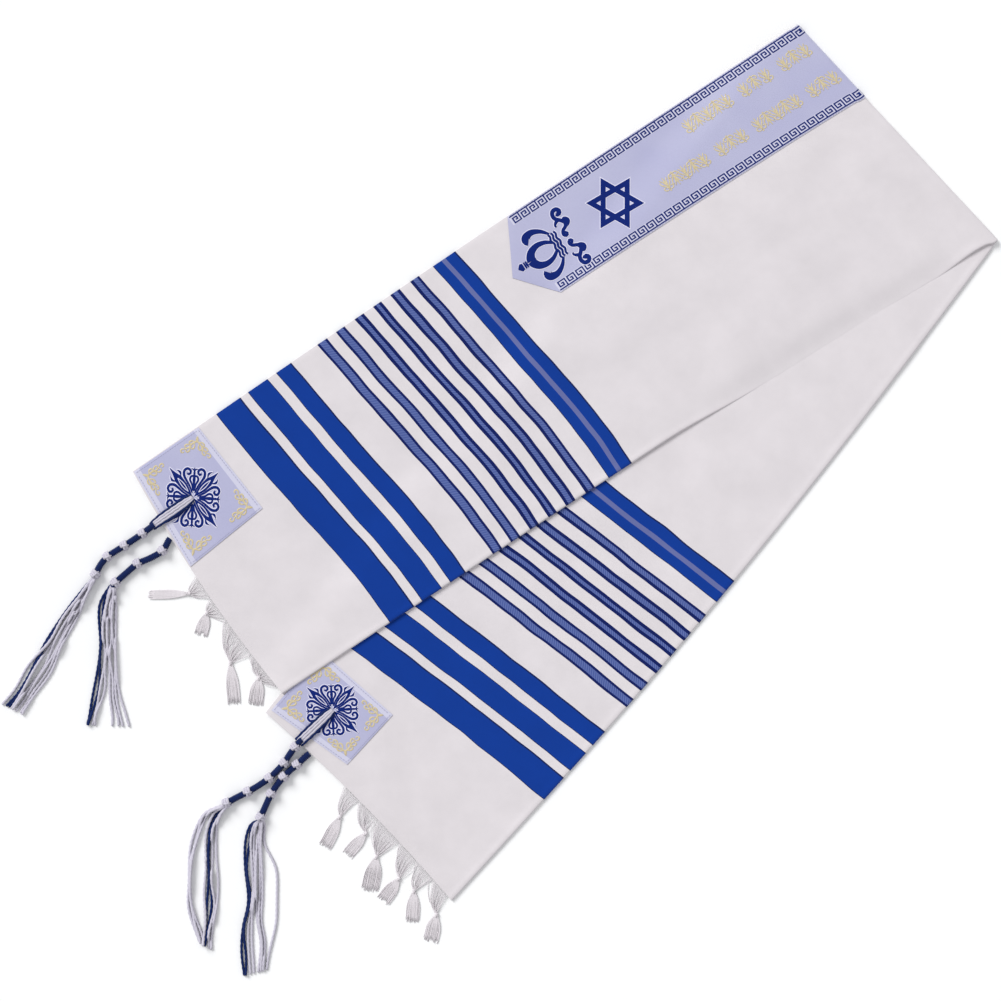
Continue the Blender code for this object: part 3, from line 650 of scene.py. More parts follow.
shades = add_node(tree, "ShaderNodeCombineColor", inputs={part: shade.outputs[0] for part in range(3)})
cloth_colour = mix_colour(tree, 1.0, stripes, shades.outputs[0], "MULTIPLY")
tree.links.new(cloth_colour, shader.inputs["Base Color"])
shawl.data.materials.append(cloth_finish)
print("cloth finish", len(tree.nodes), "nodes")

# %% [markdown]
# ## Neckband
#
# The neckband, or atarah, is a strip of satin brocade sewn flat to the long edge that goes round
# the neck. It is folded with the shawl, so half of it shows and the rest runs under the fold. Its
# end is cut to a point. It could be drawn on the cloth as colour only, but a real one stands
# proud by its own thickness, so it is its own thin sheet that follows the same folding sum.

# %% From the plan back to the flat cloth
NECK_MIDDLE = 0.169  # share across of its middle line
NECK_HALF = 0.169
NECK_BASE = (0.434, 0.4425)  # share along where its straight part ends, at its two edges
NECK_POINT = 0.038
NECK_LONG = 0.377
NECK_WIDE = 0.101
NECK_APEX = 1 / 6  # where its point lies, from -1 to 1 across
NECK_THICK = 0.55 * MM
NECK_RAISED = SHEET / 2 + 0.15 * MM + NECK_THICK / 2


def flat_place(band, along, across):
    """Place in the flat cloth of a share along and a share across a band's showing ply."""
    inset = along * LONG_INSET
    arc = TURN * math.pi / 2
    a = inset - FOLD_INSET + arc if inset > FOLD_INSET else inset * arc / FOLD_INSET
    b = (1 - across) * ACROSS_INSET - SHEET / 2 + PLY_OFFSET * (math.pi / 2 - 1)
    return (a, b) if band == "upper" else (-a, -b)


def find_shares(band, point):
    """Share along and share across of a point of the plan, found in a few steps."""
    along, across = 0.5, 0.5
    for _ in range(4):
        here = band_point(band, along, across)
        by_along = (band_point(band, along + 0.001, across) - here) / 0.001
        by_across = (band_point(band, along, across + 0.001) - here) / 0.001
        gap = point - here
        scale = by_along.x * by_across.y - by_along.y * by_across.x
        along += (gap.x * by_across.y - gap.y * by_across.x) / scale
        across += (by_along.x * gap.y - by_along.y * gap.x) / scale
    return along, across


def on_band(band, point, raised):
    """Point of the plan set on a band's showing ply, lifted by this much."""
    return folded_place(*flat_place(band, *find_shares(band, point)), raised)


def neck_place(share, side, raised):
    """Place on the neckband: share of its length, and -1 to 1 from its outer to its inner edge."""
    across = NECK_MIDDLE + NECK_HALF * side
    full = NECK_BASE[0] + (NECK_BASE[1] - NECK_BASE[0]) * (side + 1) / 2
    return folded_place(*flat_place("upper", share * full, max(across, 0.0005)), raised)


print("neckband's far corner", [round(number, 3) for number in neck_place(1.0, -1.0, 0.0)])

# %% Neckband sheet
POINT_START = (0.93, 0.07)  # share of the length where its end is drawn out, and what is left
# rows as shares of the length, close together where the satin turns round the fold
NECK_ROWS = [step * 0.0015 for step in range(-3, 7)] + [0.012, 0.018]
NECK_ROWS += [0.018 + 0.004 * step for step in range(1, 15)]
NECK_ROWS += [0.074 + (1 - 0.074) * step / 66 for step in range(1, 67)]
NECK_SIDES = [-1 + 2 * step / 24 for step in range(25)]


def neck_reach(share, side):
    """Share of the length, drawn out to the point in the last rows."""
    drawn = (side + 1) / (NECK_APEX + 1) if side < NECK_APEX else (1 - side) / (1 - NECK_APEX)
    return share + max(0.0, share - POINT_START[0]) / POINT_START[1] * NECK_POINT / NECK_BASE[0] * drawn


neckband = grid_piece(
    "neckband_satin", NECK_ROWS, NECK_SIDES,
    lambda share, side: neck_place(neck_reach(share, side), side, NECK_RAISED),
    lambda share, side: (neck_reach(share, side) * NECK_LONG, side * NECK_WIDE / 2),
)
add_thickness(neckband, NECK_THICK)
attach(neckband, "root")
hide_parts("neckband")
print("neckband", [round(side, 3) for side in neckband.dimensions])

# %% [markdown]
# Satin brocade has a smooth, faintly shining ground, and its figures are woven with another
# thread. Sheen and a lower roughness give the shine, and the shared weave group the threads.
# Along two edges the ground is paler, where the border pattern is woven in.

# %% Satin finish
SATIN_THREADS = 2400.0


def make_satin(name, border_at, border_long):
    """Lilac satin, paler in a border that starts this far from the middle line."""
    made, tree, shader = new_material(name, roughness=0.42, sheen=0.25, specular=0.35)
    uv, along, across = flat_coords(tree)
    border = math_node(tree, "GREATER_THAN", math_node(tree, "ABSOLUTE", across), border_at)
    border = times(tree, border, math_node(tree, "LESS_THAN", along, border_long))
    tone = times(tree, add_weave(tree, shader, uv, SATIN_THREADS, 0.2), 0.35)
    clouds = times(tree, add_noise(tree, uv, 11.0), 0.9)
    ground = mix_colour(tree, plus(tree, tone, clouds), SATIN_SHADE, SATIN)
    colour = mix_colour(tree, border, ground, SATIN_LIGHT)
    tree.links.new(colour, shader.inputs["Base Color"])
    return made


neckband.data.materials.append(make_satin("neckband_satin", NECK_WIDE / 2 - 12 * MM, NECK_LONG))
print("neckband finish", neckband.data.materials[0].name)

# %% [markdown]
# ## Border of Greek key
#
# The key border is a square spiral that repeats. It is easiest to see as a small chart, like a
# knitting chart. A long grid is laid along the edge, the cells that the chart leaves empty are
# deleted, and the rest is set on the satin. Each thread figure is a hair thicker than the ground.

# %% Key border
KEY_CHART = (
    "XXXXXX.",
    "X....X.",
    "X.XX.X.",
    "X.X..X.",
    "X.XXXX.",
    "X......",
    "XXXXXXX",
)
KEYS = 34
KEY_HIGH = 9.8 * MM
KEY_INSET = 1.6 * MM
KEY_START = -0.003  # share of the neckband's length where the keys begin, just inside the fold
KEY_SPAN = 1.001
FOLD_CUTS = 26  # more columns near the fold, where the keys bend down
FOLD_CUT_STEP = 0.0014
FIGURE_THICK = 0.14 * MM
FIGURE_RAISED = NECK_RAISED + NECK_THICK / 2 + 0.10 * MM
OVER_OUTLINE = 0.12 * MM  # how far a blue figure lies above its pale outline


def add_keys(side_sign):
    """One border of keys along an edge of the neckband, as a bmesh."""
    rows = len(KEY_CHART)
    columns = len(KEY_CHART[0]) * KEYS
    bm = bmesh.new()
    bmesh.ops.create_grid(bm, x_segments=columns, y_segments=rows, size=0.5)
    empty = []
    for face in bm.faces:
        middle = face.calc_center_median()
        column = int((middle.x + 0.5) * columns)
        row = int((middle.y + 0.5) * rows)
        if KEY_CHART[row][column % len(KEY_CHART[0])] == ".":
            empty.append(face)
    bmesh.ops.delete(bm, geom=empty, context="FACES")
    for step in range(FOLD_CUTS):
        every = bm.verts[:] + bm.edges[:] + bm.faces[:]
        cut = (-0.4993 + FOLD_CUT_STEP * step, 0, 0)
        bmesh.ops.bisect_plane(bm, geom=every, plane_co=cut, plane_no=(1, 0, 0))
    for vertex in bm.verts:
        share = KEY_START + KEY_SPAN * (vertex.co.x + 0.5)
        from_edge = KEY_INSET + KEY_HIGH * (0.5 - vertex.co.y)
        vertex.co = neck_place(share, side_sign * (1 - from_edge / (NECK_WIDE / 2)), FIGURE_RAISED)
    return bm


def cut_beside_upper(piece):
    """Cut a piece of the lower band off where the upper band's folded edge covers it."""
    first = long_edge_point("upper_folded", 0.8)
    line = long_edge_point("upper_folded", 1.0) - first
    away = Vector((-line.y, line.x, 0.0)).normalized()
    bm = bmesh.new()
    bm.from_mesh(piece.data)
    bmesh.ops.bisect_plane(
        bm, geom=bm.verts[:] + bm.edges[:] + bm.faces[:],
        plane_co=first.to_3d() - away * 0.3 * MM, plane_no=-away, clear_outer=True,
    )
    bm.to_mesh(piece.data)
    bm.free()


figures = []


def finish_figure(name, bm, material, band="upper"):
    """Make a laid figure an object with its thickness and finish, and list it."""
    bm.normal_update()
    if sum(face.normal.z for face in bm.faces) < 0:
        bmesh.ops.reverse_faces(bm, faces=bm.faces)
    made = new_object(name, bm)
    add_thickness(made, FIGURE_THICK)
    made.data.materials.append(material)
    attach(made, "root")
    if band == "lower":
        cut_beside_upper(made)
    figures.append(made)


def make_thread(name, colour, second, roughness=0.5, metallic=0.0, scale=900.0):
    """Embroidery thread: fine grain with a slight change of tone from thread to thread."""
    made, tree, shader = new_material(name, roughness=roughness)
    shader.inputs["Metallic"].default_value = metallic
    coords = add_node(tree, "ShaderNodeTexCoord").outputs["Object"]
    grain = add_noise(tree, coords, scale, 1.0, 0.6)
    add_bump(tree, shader, grain, 0.3, 0.2 * MM)
    tree.links.new(mix_colour(tree, grain, colour, second), shader.inputs["Base Color"])
    return made


BLUE_THREAD = make_thread("blue_thread", paint(0, 24, 102), paint(4, 38, 122), roughness=0.7)
KEY_THREAD = make_thread("key_thread", paint(8, 28, 98), paint(20, 44, 124))
GOLD_THREAD = make_thread(
    "gold_thread", paint(190, 170, 122), paint(238, 226, 190), roughness=0.45, metallic=0.1, scale=600.0,
)
PALE_THREAD = make_thread("pale_thread", paint(222, 220, 242), paint(236, 234, 250))

for sign, name in ((-1, "key_border_outer"), (1, "key_border_inner")):
    finish_figure(name, add_keys(sign), KEY_THREAD)
print("key borders", [len(figure.data.polygons) for figure in figures], "cells")

# %% [markdown]
# ## Star, crown and scrolls
#
# Figures are drawn like embroidery, one stroke at a time. A stroke is a narrow grid laid along a
# path, with its middle line a little higher, as satin stitch is. The path is a smooth line
# through a few points, so a curl needs only a short table. The star is two triangles with their
# insides inset and taken out. Each figure is drawn flat in mm and then set on the cloth.

# %% Stroke helpers
def smooth_path(points, count):
    """Evenly spaced points of a smooth line through the points given."""
    ends = [2 * points[0] - points[1], *points, 2 * points[-1] - points[-2]]
    line = []
    for number in range(1, len(ends) - 2):
        before, first, last, after = ends[number - 1:number + 3]
        for step in range(12):
            s = step / 12
            line.append(0.5 * (
                2 * first + (last - before) * s
                + (2 * before - 5 * first + 4 * last - after) * s**2
                + (3 * first - before - 3 * last + after) * s**3
            ))
    line.append(points[-1].copy())
    lengths = [0.0]
    for first, last in zip(line, line[1:]):
        lengths.append(lengths[-1] + (last - first).length)
    spaced = []
    at = 0
    for step in range(count + 1):
        goal = lengths[-1] * step / count
        while at < len(lengths) - 2 and lengths[at + 1] < goal:
            at += 1
        span = max(lengths[at + 1] - lengths[at], 1e-9)
        spaced.append(line[at].lerp(line[at + 1], min((goal - lengths[at]) / span, 1.0)))
    return spaced


def add_stroke(bm, path, widths, grow=0.0, high=0.16):
    """Lay a narrow grid along a path, in mm. widths are at its start, middle and end."""
    steps = len(path) - 1
    first, middle, last = [width + grow for width in widths]
    for vertex in bmesh.ops.create_grid(bm, x_segments=steps, y_segments=2, size=0.5)["verts"]:
        number = round((vertex.co.x + 0.5) * steps)
        row = round((vertex.co.y + 0.5) * 2) - 1
        ahead = (path[min(number + 1, steps)] - path[max(number - 1, 0)]).normalized()
        share = 2 * number / steps
        width = first + (middle - first) * share if share < 1 else middle + (last - middle) * (share - 1)
        place = path[number] + Vector((-ahead.y, ahead.x)) * row * width / 2
        vertex.co = (place.x, place.y, high * (1 - abs(row)))


def draw(bm, strokes, grow=0.0, ways=((1, 1),), swaps=(False,), steps=18):
    """Lay each stroke of a table: its points in mm, then three widths. ways are mirrorings."""
    for points, widths in strokes:
        for x_way, y_way in ways:
            for swap in swaps:
                line = [Vector((y, x)) if swap else Vector((x, y)) for x, y in points]
                line = [Vector((point.x * x_way, point.y * y_way)) for point in line]
                add_stroke(bm, smooth_path(line, steps), widths, grow)


def add_dot(bm, x, y, radius, high=0.08):
    """A small round dot, in mm."""
    made = bmesh.ops.create_circle(bm, cap_ends=True, radius=radius, segments=10)["verts"]
    bmesh.ops.translate(bm, verts=made, vec=(x, y, high))


def merge_part(bm, part):
    """Add one bmesh to another, through a mesh that is dropped again."""
    mesh = bpy.data.meshes.new("part")
    part.to_mesh(mesh)
    part.free()
    bm.from_mesh(mesh)
    bpy.data.meshes.remove(mesh)


def set_figure(bm, band, middle, angle, raised, stretch=(1.0, 1.0)):
    """Set a figure drawn in mm on a band: its origin and its X direction in the plan."""
    ahead = heading(angle)
    beside = Vector((ahead.y, -ahead.x))
    for vertex in bm.verts:
        offset = ahead * vertex.co.x * MM + beside * vertex.co.y * MM
        point = middle + offset * Vector(stretch)
        vertex.co = on_band(band, point, raised + vertex.co.z * MM)


def pixel(x, y):
    """A place of the picture as a point of the plan."""
    return Vector(((x - 500.5) * 1.085 * MM, (500 - y) * 1.085 * MM))


print("middle of the picture", [round(number, 4) for number in pixel(500.5, 500)])

# %% Star
STAR_RADIUS = 31.6  # mm, as all measures of figures
STAR_LINE = 5.6
STAR_MIDDLE = pixel(615, 203)
NECK_HEADING = 213.0


def add_triangle(bm, turn, grow, high):
    """A triangle of straight lines, drawn a little larger by grow."""
    radius = STAR_RADIUS + 2 * grow
    made = bmesh.ops.create_circle(bm, cap_ends=True, radius=radius, segments=3)["verts"]
    bmesh.ops.rotate(bm, verts=made, cent=(0, 0, 0), matrix=turn)
    bmesh.ops.translate(bm, verts=made, vec=(0, 0, high))
    face = made[0].link_faces[0]
    bmesh.ops.inset_region(
        bm, faces=[face], thickness=STAR_LINE + 2 * grow, use_boundary=True, use_even_offset=True,
    )
    bmesh.ops.delete(bm, geom=[face], context="FACES")


def make_star(name, material, grow, raised):
    """Both triangles of the star, cut into short pieces so that they follow the cloth."""
    bm = bmesh.new()
    # one triangle stands a hair higher, so that their faces never lie in the same place
    for degrees, high in ((0, 0.0), (180, 0.05)):
        add_triangle(bm, Matrix.Rotation(math.radians(degrees), 3, "Z"), grow, high)
    long_edges = [edge for edge in bm.edges if edge.calc_length() > 12]
    bmesh.ops.subdivide_edges(bm, edges=long_edges, cuts=9, use_grid_fill=True)
    set_figure(bm, "upper", STAR_MIDDLE, NECK_HEADING - 3, raised)
    finish_figure(name, bm, material)


make_star("star_outline", PALE_THREAD, 0.9, FIGURE_RAISED)
make_star("star", BLUE_THREAD, 0.0, FIGURE_RAISED + OVER_OUTLINE)
print("star", len(figures[-1].data.polygons), "cells")

# %% Crown and scrolls
CROWN_STROKES = (
    # one side of the crown and of the scrolls: points in mm, then three widths
    (((4.0, 4.5), (12.0, 9.6), (21.0, 11.2), (29.0, 8.6), (33.2, 3.6), (34.0, 0.0)), (2.6, 5.6, 10.0)),
    (((2.5, 14.5), (9.0, 21.8), (17.5, 26.2), (25.0, 25.4), (27.2, 22.2), (25.4, 20.2)), (2.0, 5.4, 10.0)),
    (
        (
            (-12.6, 5.2), (-14.0, 6.4), (-14.8, 4.6), (-12.8, 2.9), (-10.4, 5.4), (-12.2, 9.4),
            (-17.0, 12.0), (-18.6, 16.0), (-15.8, 20.4), (-12.2, 24.0), (-11.2, 28.6), (-13.6, 32.8),
            (-18.2, 33.0), (-20.2, 29.4), (-17.6, 27.0), (-15.6, 28.8),
        ),
        (2.8, 3.6, 4.6),
    ),
    (((-16.0, 11.0), (-20.6, 13.2), (-22.6, 17.0), (-20.4, 20.2), (-18.2, 19.2)), (1.4, 4.6, 2.2)),
    (((-15.2, 22.0), (-11.0, 21.2), (-8.0, 18.6), (-8.2, 16.4)), (3.4, 3.0, 1.2)),
)
CROWN_MIDDLE = pixel(558.2, 243.8)


def make_crown(name, material, grow, raised):
    """The crown over its base lines, with a pair of scrolls behind it."""
    bm = bmesh.new()
    draw(bm, CROWN_STROKES, grow, ways=((1, 1), (1, -1)), steps=34)
    for x in (-3.0, 0.6, 4.2):
        path = [Vector((x + 0.8 * math.sin(step * 0.8), (step - 12) * 1.2)) for step in range(25)]
        add_stroke(bm, path, (1.8, 2.2, 1.8), grow)
    for x in (40.4, 42.8):
        bar = [Vector((x, -3.6 + 1.8 * step)) for step in range(5)]
        add_stroke(bm, bar, (1.4, 1.8, 1.4), grow)
    tip = [Vector((44.6 + 1.1 * step, 0)) for step in range(7)]
    add_stroke(bm, tip, (6.6, 8.4, 1.4), grow)
    set_figure(bm, "upper", CROWN_MIDDLE, NECK_HEADING, raised)
    finish_figure(name, bm, material)


make_crown("crown_outline", PALE_THREAD, 2.2, FIGURE_RAISED)
make_crown("crown", BLUE_THREAD, 0.6, FIGURE_RAISED + OVER_OUTLINE)
print("crown", len(figures[-1].data.polygons), "cells")

# %% [markdown]
# ## Gold ornaments
#
# Between the star and the fold the brocade carries two rows in thin gold thread. Here they are
# lengths of a plain running pattern of palmettes, one upright and the next upside down. Two
# numbers place each length, so the rows are easy to change.

# %% Gold rows
UNIT_WIDE = 12.2  # mm for one palmette of the row
PALMETTE = (
    # one side of a palmette: points in mm, then three widths
    (((0.0, -6.4), (0.5, -1.0), (2.2, 3.8), (4.4, 6.8)), (0.8, 1.7, 0.7)),
    (((0.3, -6.2), (2.2, -2.2), (4.6, 0.6), (5.6, 3.6), (4.4, 4.4)), (0.7, 1.5, 0.9)),
    (((0.4, -6.6), (3.4, -7.0), (5.4, -5.0), (4.4, -3.0), (2.9, -3.9)), (0.8, 1.4, 0.9)),
)


def add_unit(bm, x, y, way):
    """A palmette, upright or upside down."""
    part = bmesh.new()
    draw(part, PALMETTE, ways=((1, way), (-1, way)), steps=8)
    draw(part, ((((0.0, -6.4 * way), (0.0, 1.0 * way), (0.0, 8.4 * way)), (0.9, 2.2, 0.6)),), steps=6)
    add_dot(part, 0.0, -8.0 * way, 1.0)
    bmesh.ops.translate(part, verts=part.verts, vec=(x, y, 0))
    merge_part(bm, part)


def set_on_neck(bm):
    """Set a figure drawn in mm, from the fold and from the middle line, on the neckband."""
    for vertex in bm.verts:
        share, side = vertex.co.x * MM / NECK_LONG, vertex.co.y * MM / (NECK_WIDE / 2)
        vertex.co = neck_place(share, side, FIGURE_RAISED + vertex.co.z * MM)


def make_gold_row(name, side, spans):
    """One row of ornament: mm from the neckband's middle line, and where each length lies."""
    bm = bmesh.new()
    for first, last in spans:
        count = round((last - first) / UNIT_WIDE)
        for number in range(count):
            x = first + (last - first) * (number + 0.5) / count
            add_unit(bm, x, side, 1 if number % 2 else -1)
    set_on_neck(bm)
    finish_figure(name, bm, GOLD_THREAD)


for name, side, spans in (
    ("gold_row_outer", -24.0, ((8.0, 47.0), (57.0, 98.0), (108.0, 168.0))),
    ("gold_row_inner", 15.5, ((5.0, 43.0), (53.0, 110.0), (120.0, 158.0), (168.0, 226.0))),
):
    make_gold_row(name, side, spans)
print("gold rows", [len(figure.data.polygons) for figure in figures[-2:]], "cells")

# %% [markdown]
# ## Corner patches
#
# A satin patch strengthens each corner where the tassel's hole is. Its edges are turned under
# and stitched. Two patches show. Each is a grid between its four corners, laid on the cloth by
# the same sum as the neckband. The lower one runs on beneath the upper band's folded edge, where
# it is cut off along a plane, because nothing of it is seen from there on.

# %% Patches
PATCH_THICK = 0.6 * MM
PATCH_RAISED = SHEET / 2 + 0.15 * MM + PATCH_THICK / 2
# corners as distances from the band's end and from its open edge
PATCH_CORNERS = {
    "upper": ((0.0010, 0.0010), (0.0860, 0.0010), (0.0985, 0.1120), (0.0010, 0.1205)),
    "lower": ((0.0060, 0.0030), (0.0900, 0.0080), (0.0937, 0.1080), (0.0190, 0.1040)),
}
PATCH_SIZE = {"upper": (0.094, 0.113), "lower": (0.080, 0.102)}
patch_cells = [step / 28 for step in range(29)]


def patch_point(band, from_end, from_open):
    """Point of the plan at shares 0 to 1 of a patch's two directions."""
    end_width = (long_edge_point(f"{band}_folded", 1.0) - long_edge_point(f"{band}_open", 1.0)).length
    places = []
    for end, side in PATCH_CORNERS[band]:
        across = side / end_width
        places.append(band_point(band, 1 - end / band_length(band, across), across))
    first = places[0].lerp(places[1], from_end)
    last = places[3].lerp(places[2], from_end)
    return first.lerp(last, from_open)


def make_patch(band):
    """The satin ground of a patch."""
    size = PATCH_SIZE[band]
    made = grid_piece(
        f"patch_{band}_satin", patch_cells, patch_cells,
        lambda end, side: on_band(band, patch_point(band, end, side), PATCH_RAISED),
        lambda end, side: ((side - 0.5) * size[1], (end - 0.5) * size[0]),
    )
    if band == "lower":
        cut_beside_upper(made)
    add_thickness(made, PATCH_THICK)
    made.data.materials.append(make_satin(f"patch_{band}_satin", size[0] / 2 - 7.5 * MM, 1.0))
    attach(made, "root")
    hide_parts(f"patch_{band}")
    return made


patches = {band: make_patch(band) for band in ("upper", "lower")}
print("patches", [round(side, 3) for side in patches["upper"].dimensions])

# %% [markdown]
# Each patch carries a medallion: four pointed arms, and between them pairs of curls. Only half a
# quarter is drawn, and the rest are its mirror images, which is how such a pattern is planned on
# paper too. Gold branches fill the corners.

# %% Medallions
QUARTER_STROKES = (
    # half of a quarter, beside one arm: points in mm, then three widths
    (
        (
            (5.0, 2.6), (13.0, 5.4), (20.5, 6.6), (26.4, 8.2), (30.0, 12.4), (28.4, 17.0),
            (23.8, 17.4), (22.4, 13.8), (25.2, 12.6),
        ),
        (2.4, 3.8, 3.4),
    ),
    (
        ((6.0, 4.6), (12.0, 8.6), (17.4, 10.2), (19.4, 13.8), (17.0, 16.6), (14.4, 14.6), (15.6, 13.0)),
        (2.2, 3.2, 2.6),
    ),
    (((27.6, 4.0), (31.6, 6.6), (35.4, 5.8), (37.0, 4.6)), (1.4, 3.4, 0.8)),
    (((18.6, 19.4), (21.8, 21.2), (24.8, 20.4), (25.4, 18.6)), (2.6, 2.6, 0.9)),
)
BUD_STROKES = ((((5.0, 5.0), (14.0, 14.0), (23.5, 23.5)), (1.6, 4.4, 1.6)),)
ARMS = ((1.5, 42.5, 10.4), (1.5, 45.0, 10.4))  # first and last mm and width, for X and for Y
ARM_WIDEST = 0.62  # share of its length
MEDALLIONS = {
    # middle, heading, and how the satin has stretched it along X and Y
    "upper": (pixel(193.5, 497), 41.5, (0.87, 0.97)),
    "lower": (pixel(332.5, 709.3), 48.0, (0.84, 0.83)),
}


def turned(path):
    """The same path with X and Y changed over."""
    return [Vector((point.y, point.x)) for point in path]


def add_arm(bm, first, last, wide, upright, way, grow):
    """A pointed leaf along one axis, from first to last mm from the middle."""
    for start, end, widths in (
        (first, last * ARM_WIDEST, (1.0, wide * 0.9, wide)),
        (last * ARM_WIDEST, last, (wide, wide * 0.42, 0.6)),
    ):
        path = [Vector((start + (end - start) * step / 7, 0)) * way for step in range(8)]
        add_stroke(bm, turned(path) if upright else path, widths, grow)


def finish_medallion(band, name, bm, material, raised):
    """Set a part of a medallion on its patch and make it an object."""
    middle, angle, stretch = MEDALLIONS[band]
    set_figure(bm, band, middle, angle, raised, stretch)
    finish_figure(name, bm, material, band)


def make_medallion(band, name, material, grow, raised):
    """A patch's medallion, or the pale outline under it."""
    bm = bmesh.new()
    corners = ((1, 1), (1, -1), (-1, 1), (-1, -1))
    draw(bm, QUARTER_STROKES, grow, ways=corners, swaps=(False, True))
    draw(bm, BUD_STROKES, grow, ways=corners)
    for way in (-1, 1):
        for upright, arm in enumerate(ARMS):
            add_arm(bm, *arm, upright, way, grow)
    finish_medallion(band, name, bm, material, raised)


def make_arm_lines(band, raised):
    """Thin pale lines inside the arms."""
    bm = bmesh.new()
    for way in (-1, 1):
        for side in (-1, 1):
            path = []
            for step in range(11):
                bow = side * 1.7 * math.sin(math.pi * step / 10)
                path.append(Vector((9 + 20 * step / 10, bow)) * way)
            add_stroke(bm, path, (0.7, 1.0, 0.7))
            add_stroke(bm, turned(path), (0.7, 1.0, 0.7))
    finish_medallion(band, f"medallion_{band}_lines", bm, PALE_THREAD, raised)


PATCH_FIGURE = PATCH_RAISED + PATCH_THICK / 2 + 0.10 * MM
for band in ("upper", "lower"):
    make_medallion(band, f"medallion_{band}_outline", PALE_THREAD, 1.5, PATCH_FIGURE)
    make_medallion(band, f"medallion_{band}", BLUE_THREAD, -0.5, PATCH_FIGURE + OVER_OUTLINE)
    make_arm_lines(band, PATCH_FIGURE + 0.30 * MM)
print("medallion", len(figures[-2].data.polygons), "cells")

# %% Gold corners and stitches
def set_on_patch(bm, band, raised):
    """Set a figure drawn in mm from a patch's middle on the patch."""
    size = PATCH_SIZE[band]
    for vertex in bm.verts:
        end = 0.5 + vertex.co.x * MM / size[0]
        side = 0.5 + vertex.co.y * MM / size[1]
        vertex.co = on_band(band, patch_point(band, end, side), raised + vertex.co.z * MM)


CORNER_STROKES = (
    # one branch from a corner of the gold frame: points in mm, then three widths
    (((0.0, 0.0), (-6.0, 0.8), (-12.0, -0.4), (-18.0, 0.6)), (2.0, 1.8, 1.0)),
    (((-2.0, 0.4), (-4.6, 3.6), (-8.0, 4.0), (-8.8, 1.8), (-7.0, 1.6)), (0.9, 1.9, 1.1)),
    (((-3.6, 0.4), (-6.4, -3.4), (-9.8, -4.0), (-10.8, -1.8), (-9.0, -1.4)), (0.9, 1.9, 1.1)),
    (((-9.0, 0.2), (-11.6, 3.4), (-15.0, 3.4), (-15.4, 1.4), (-13.8, 1.2)), (0.9, 1.8, 1.0)),
    (((-11.0, 0.0), (-13.4, -3.4), (-16.8, -3.6), (-17.6, -1.6), (-15.8, -1.2)), (0.9, 1.8, 1.0)),
    (((-17.0, 0.6), (-20.0, 2.4), (-22.6, 1.0), (-21.8, -1.4), (-19.8, -0.9)), (1.0, 1.8, 1.1)),
)


def make_gold_corners(band):
    """A pair of gold branches in each corner of a patch."""
    bm = bmesh.new()
    half = [side / 2 / MM - 11.5 for side in PATCH_SIZE[band]]
    for x_way in (-1, 1):
        for y_way in (-1, 1):
            part = bmesh.new()
            draw(part, CORNER_STROKES, ways=((x_way, y_way),), steps=9)
            draw(part, CORNER_STROKES, ways=((x_way, y_way),), swaps=(True,), steps=9)
            leaf = [Vector((step * x_way, step * y_way)) for step in range(-1, 5)]
            add_stroke(part, leaf, (1.6, 3.4, 0.8))
            bmesh.ops.translate(part, verts=part.verts, vec=(half[0] * x_way, half[1] * y_way, 0))
            merge_part(bm, part)
    set_on_patch(bm, band, PATCH_FIGURE)
    finish_figure(f"gold_corners_{band}", bm, GOLD_THREAD, band)


PATCH_STITCH_PITCH = 3.4
PATCH_STITCH = 2.3
NECK_STITCHES = 108
NECK_STITCH_PITCH = 3.45
NECK_SEAM = 49.6  # mm from the middle line


def add_stitch(bm, start, ahead):
    """One running stitch, in mm."""
    add_stroke(bm, [start, start + ahead / 2, start + ahead], (0.5, 0.75, 0.5), high=0.2)


def add_stitches(bm, corners, inset):
    """Running stitches in mm along a closed outline."""
    for first, last in zip(corners, corners[1:] + corners[:1]):
        length = (last - first).length
        ahead = (last - first) / length
        beside = Vector((-ahead.y, ahead.x)) * inset
        for number in range(int((length - 2 * inset) / PATCH_STITCH_PITCH)):
            start = first + beside + ahead * (inset + number * PATCH_STITCH_PITCH)
            add_stitch(bm, start, ahead * PATCH_STITCH)


STITCH_THREAD = make_thread("stitch_thread", paint(176, 176, 208), paint(204, 202, 226))
for band in ("upper", "lower"):
    make_gold_corners(band)
    bm = bmesh.new()
    half = [side / 2 / MM for side in PATCH_SIZE[band]]
    corners = [Vector((x * half[0], y * half[1])) for x, y in ((-1, -1), (1, -1), (1, 1), (-1, 1))]
    add_stitches(bm, corners, 2.2)
    set_on_patch(bm, band, PATCH_FIGURE)
    finish_figure(f"patch_{band}_stitches", bm, STITCH_THREAD, band)

bm = bmesh.new()
for side in (-1, 1):
    for number in range(NECK_STITCHES):
        start = Vector((3 + number * NECK_STITCH_PITCH, side * NECK_SEAM))
        add_stitch(bm, start, Vector((2.4, 0)))
set_on_neck(bm)
finish_figure("neckband_stitches", bm, STITCH_THREAD)
print("stitches", len(figures[-1].data.polygons) // 4)

# %% [markdown]
# ## Corner tassels
#
# A corner tassel, or tzitzit, is made from long cords drawn through the corner's hole and doubled.
# A blue cord is wound round the rest in short lengths, each closed by a white double knot, and
# then the cords hang free. Each cord is a tube: a grid rolled round a path, with its sections
# slightly two-lobed and turning, as two twisted yarns are. Curves with a round bevel would be
# quicker, but they can't show the twist. Where cords cross, each is lifted onto those below it.

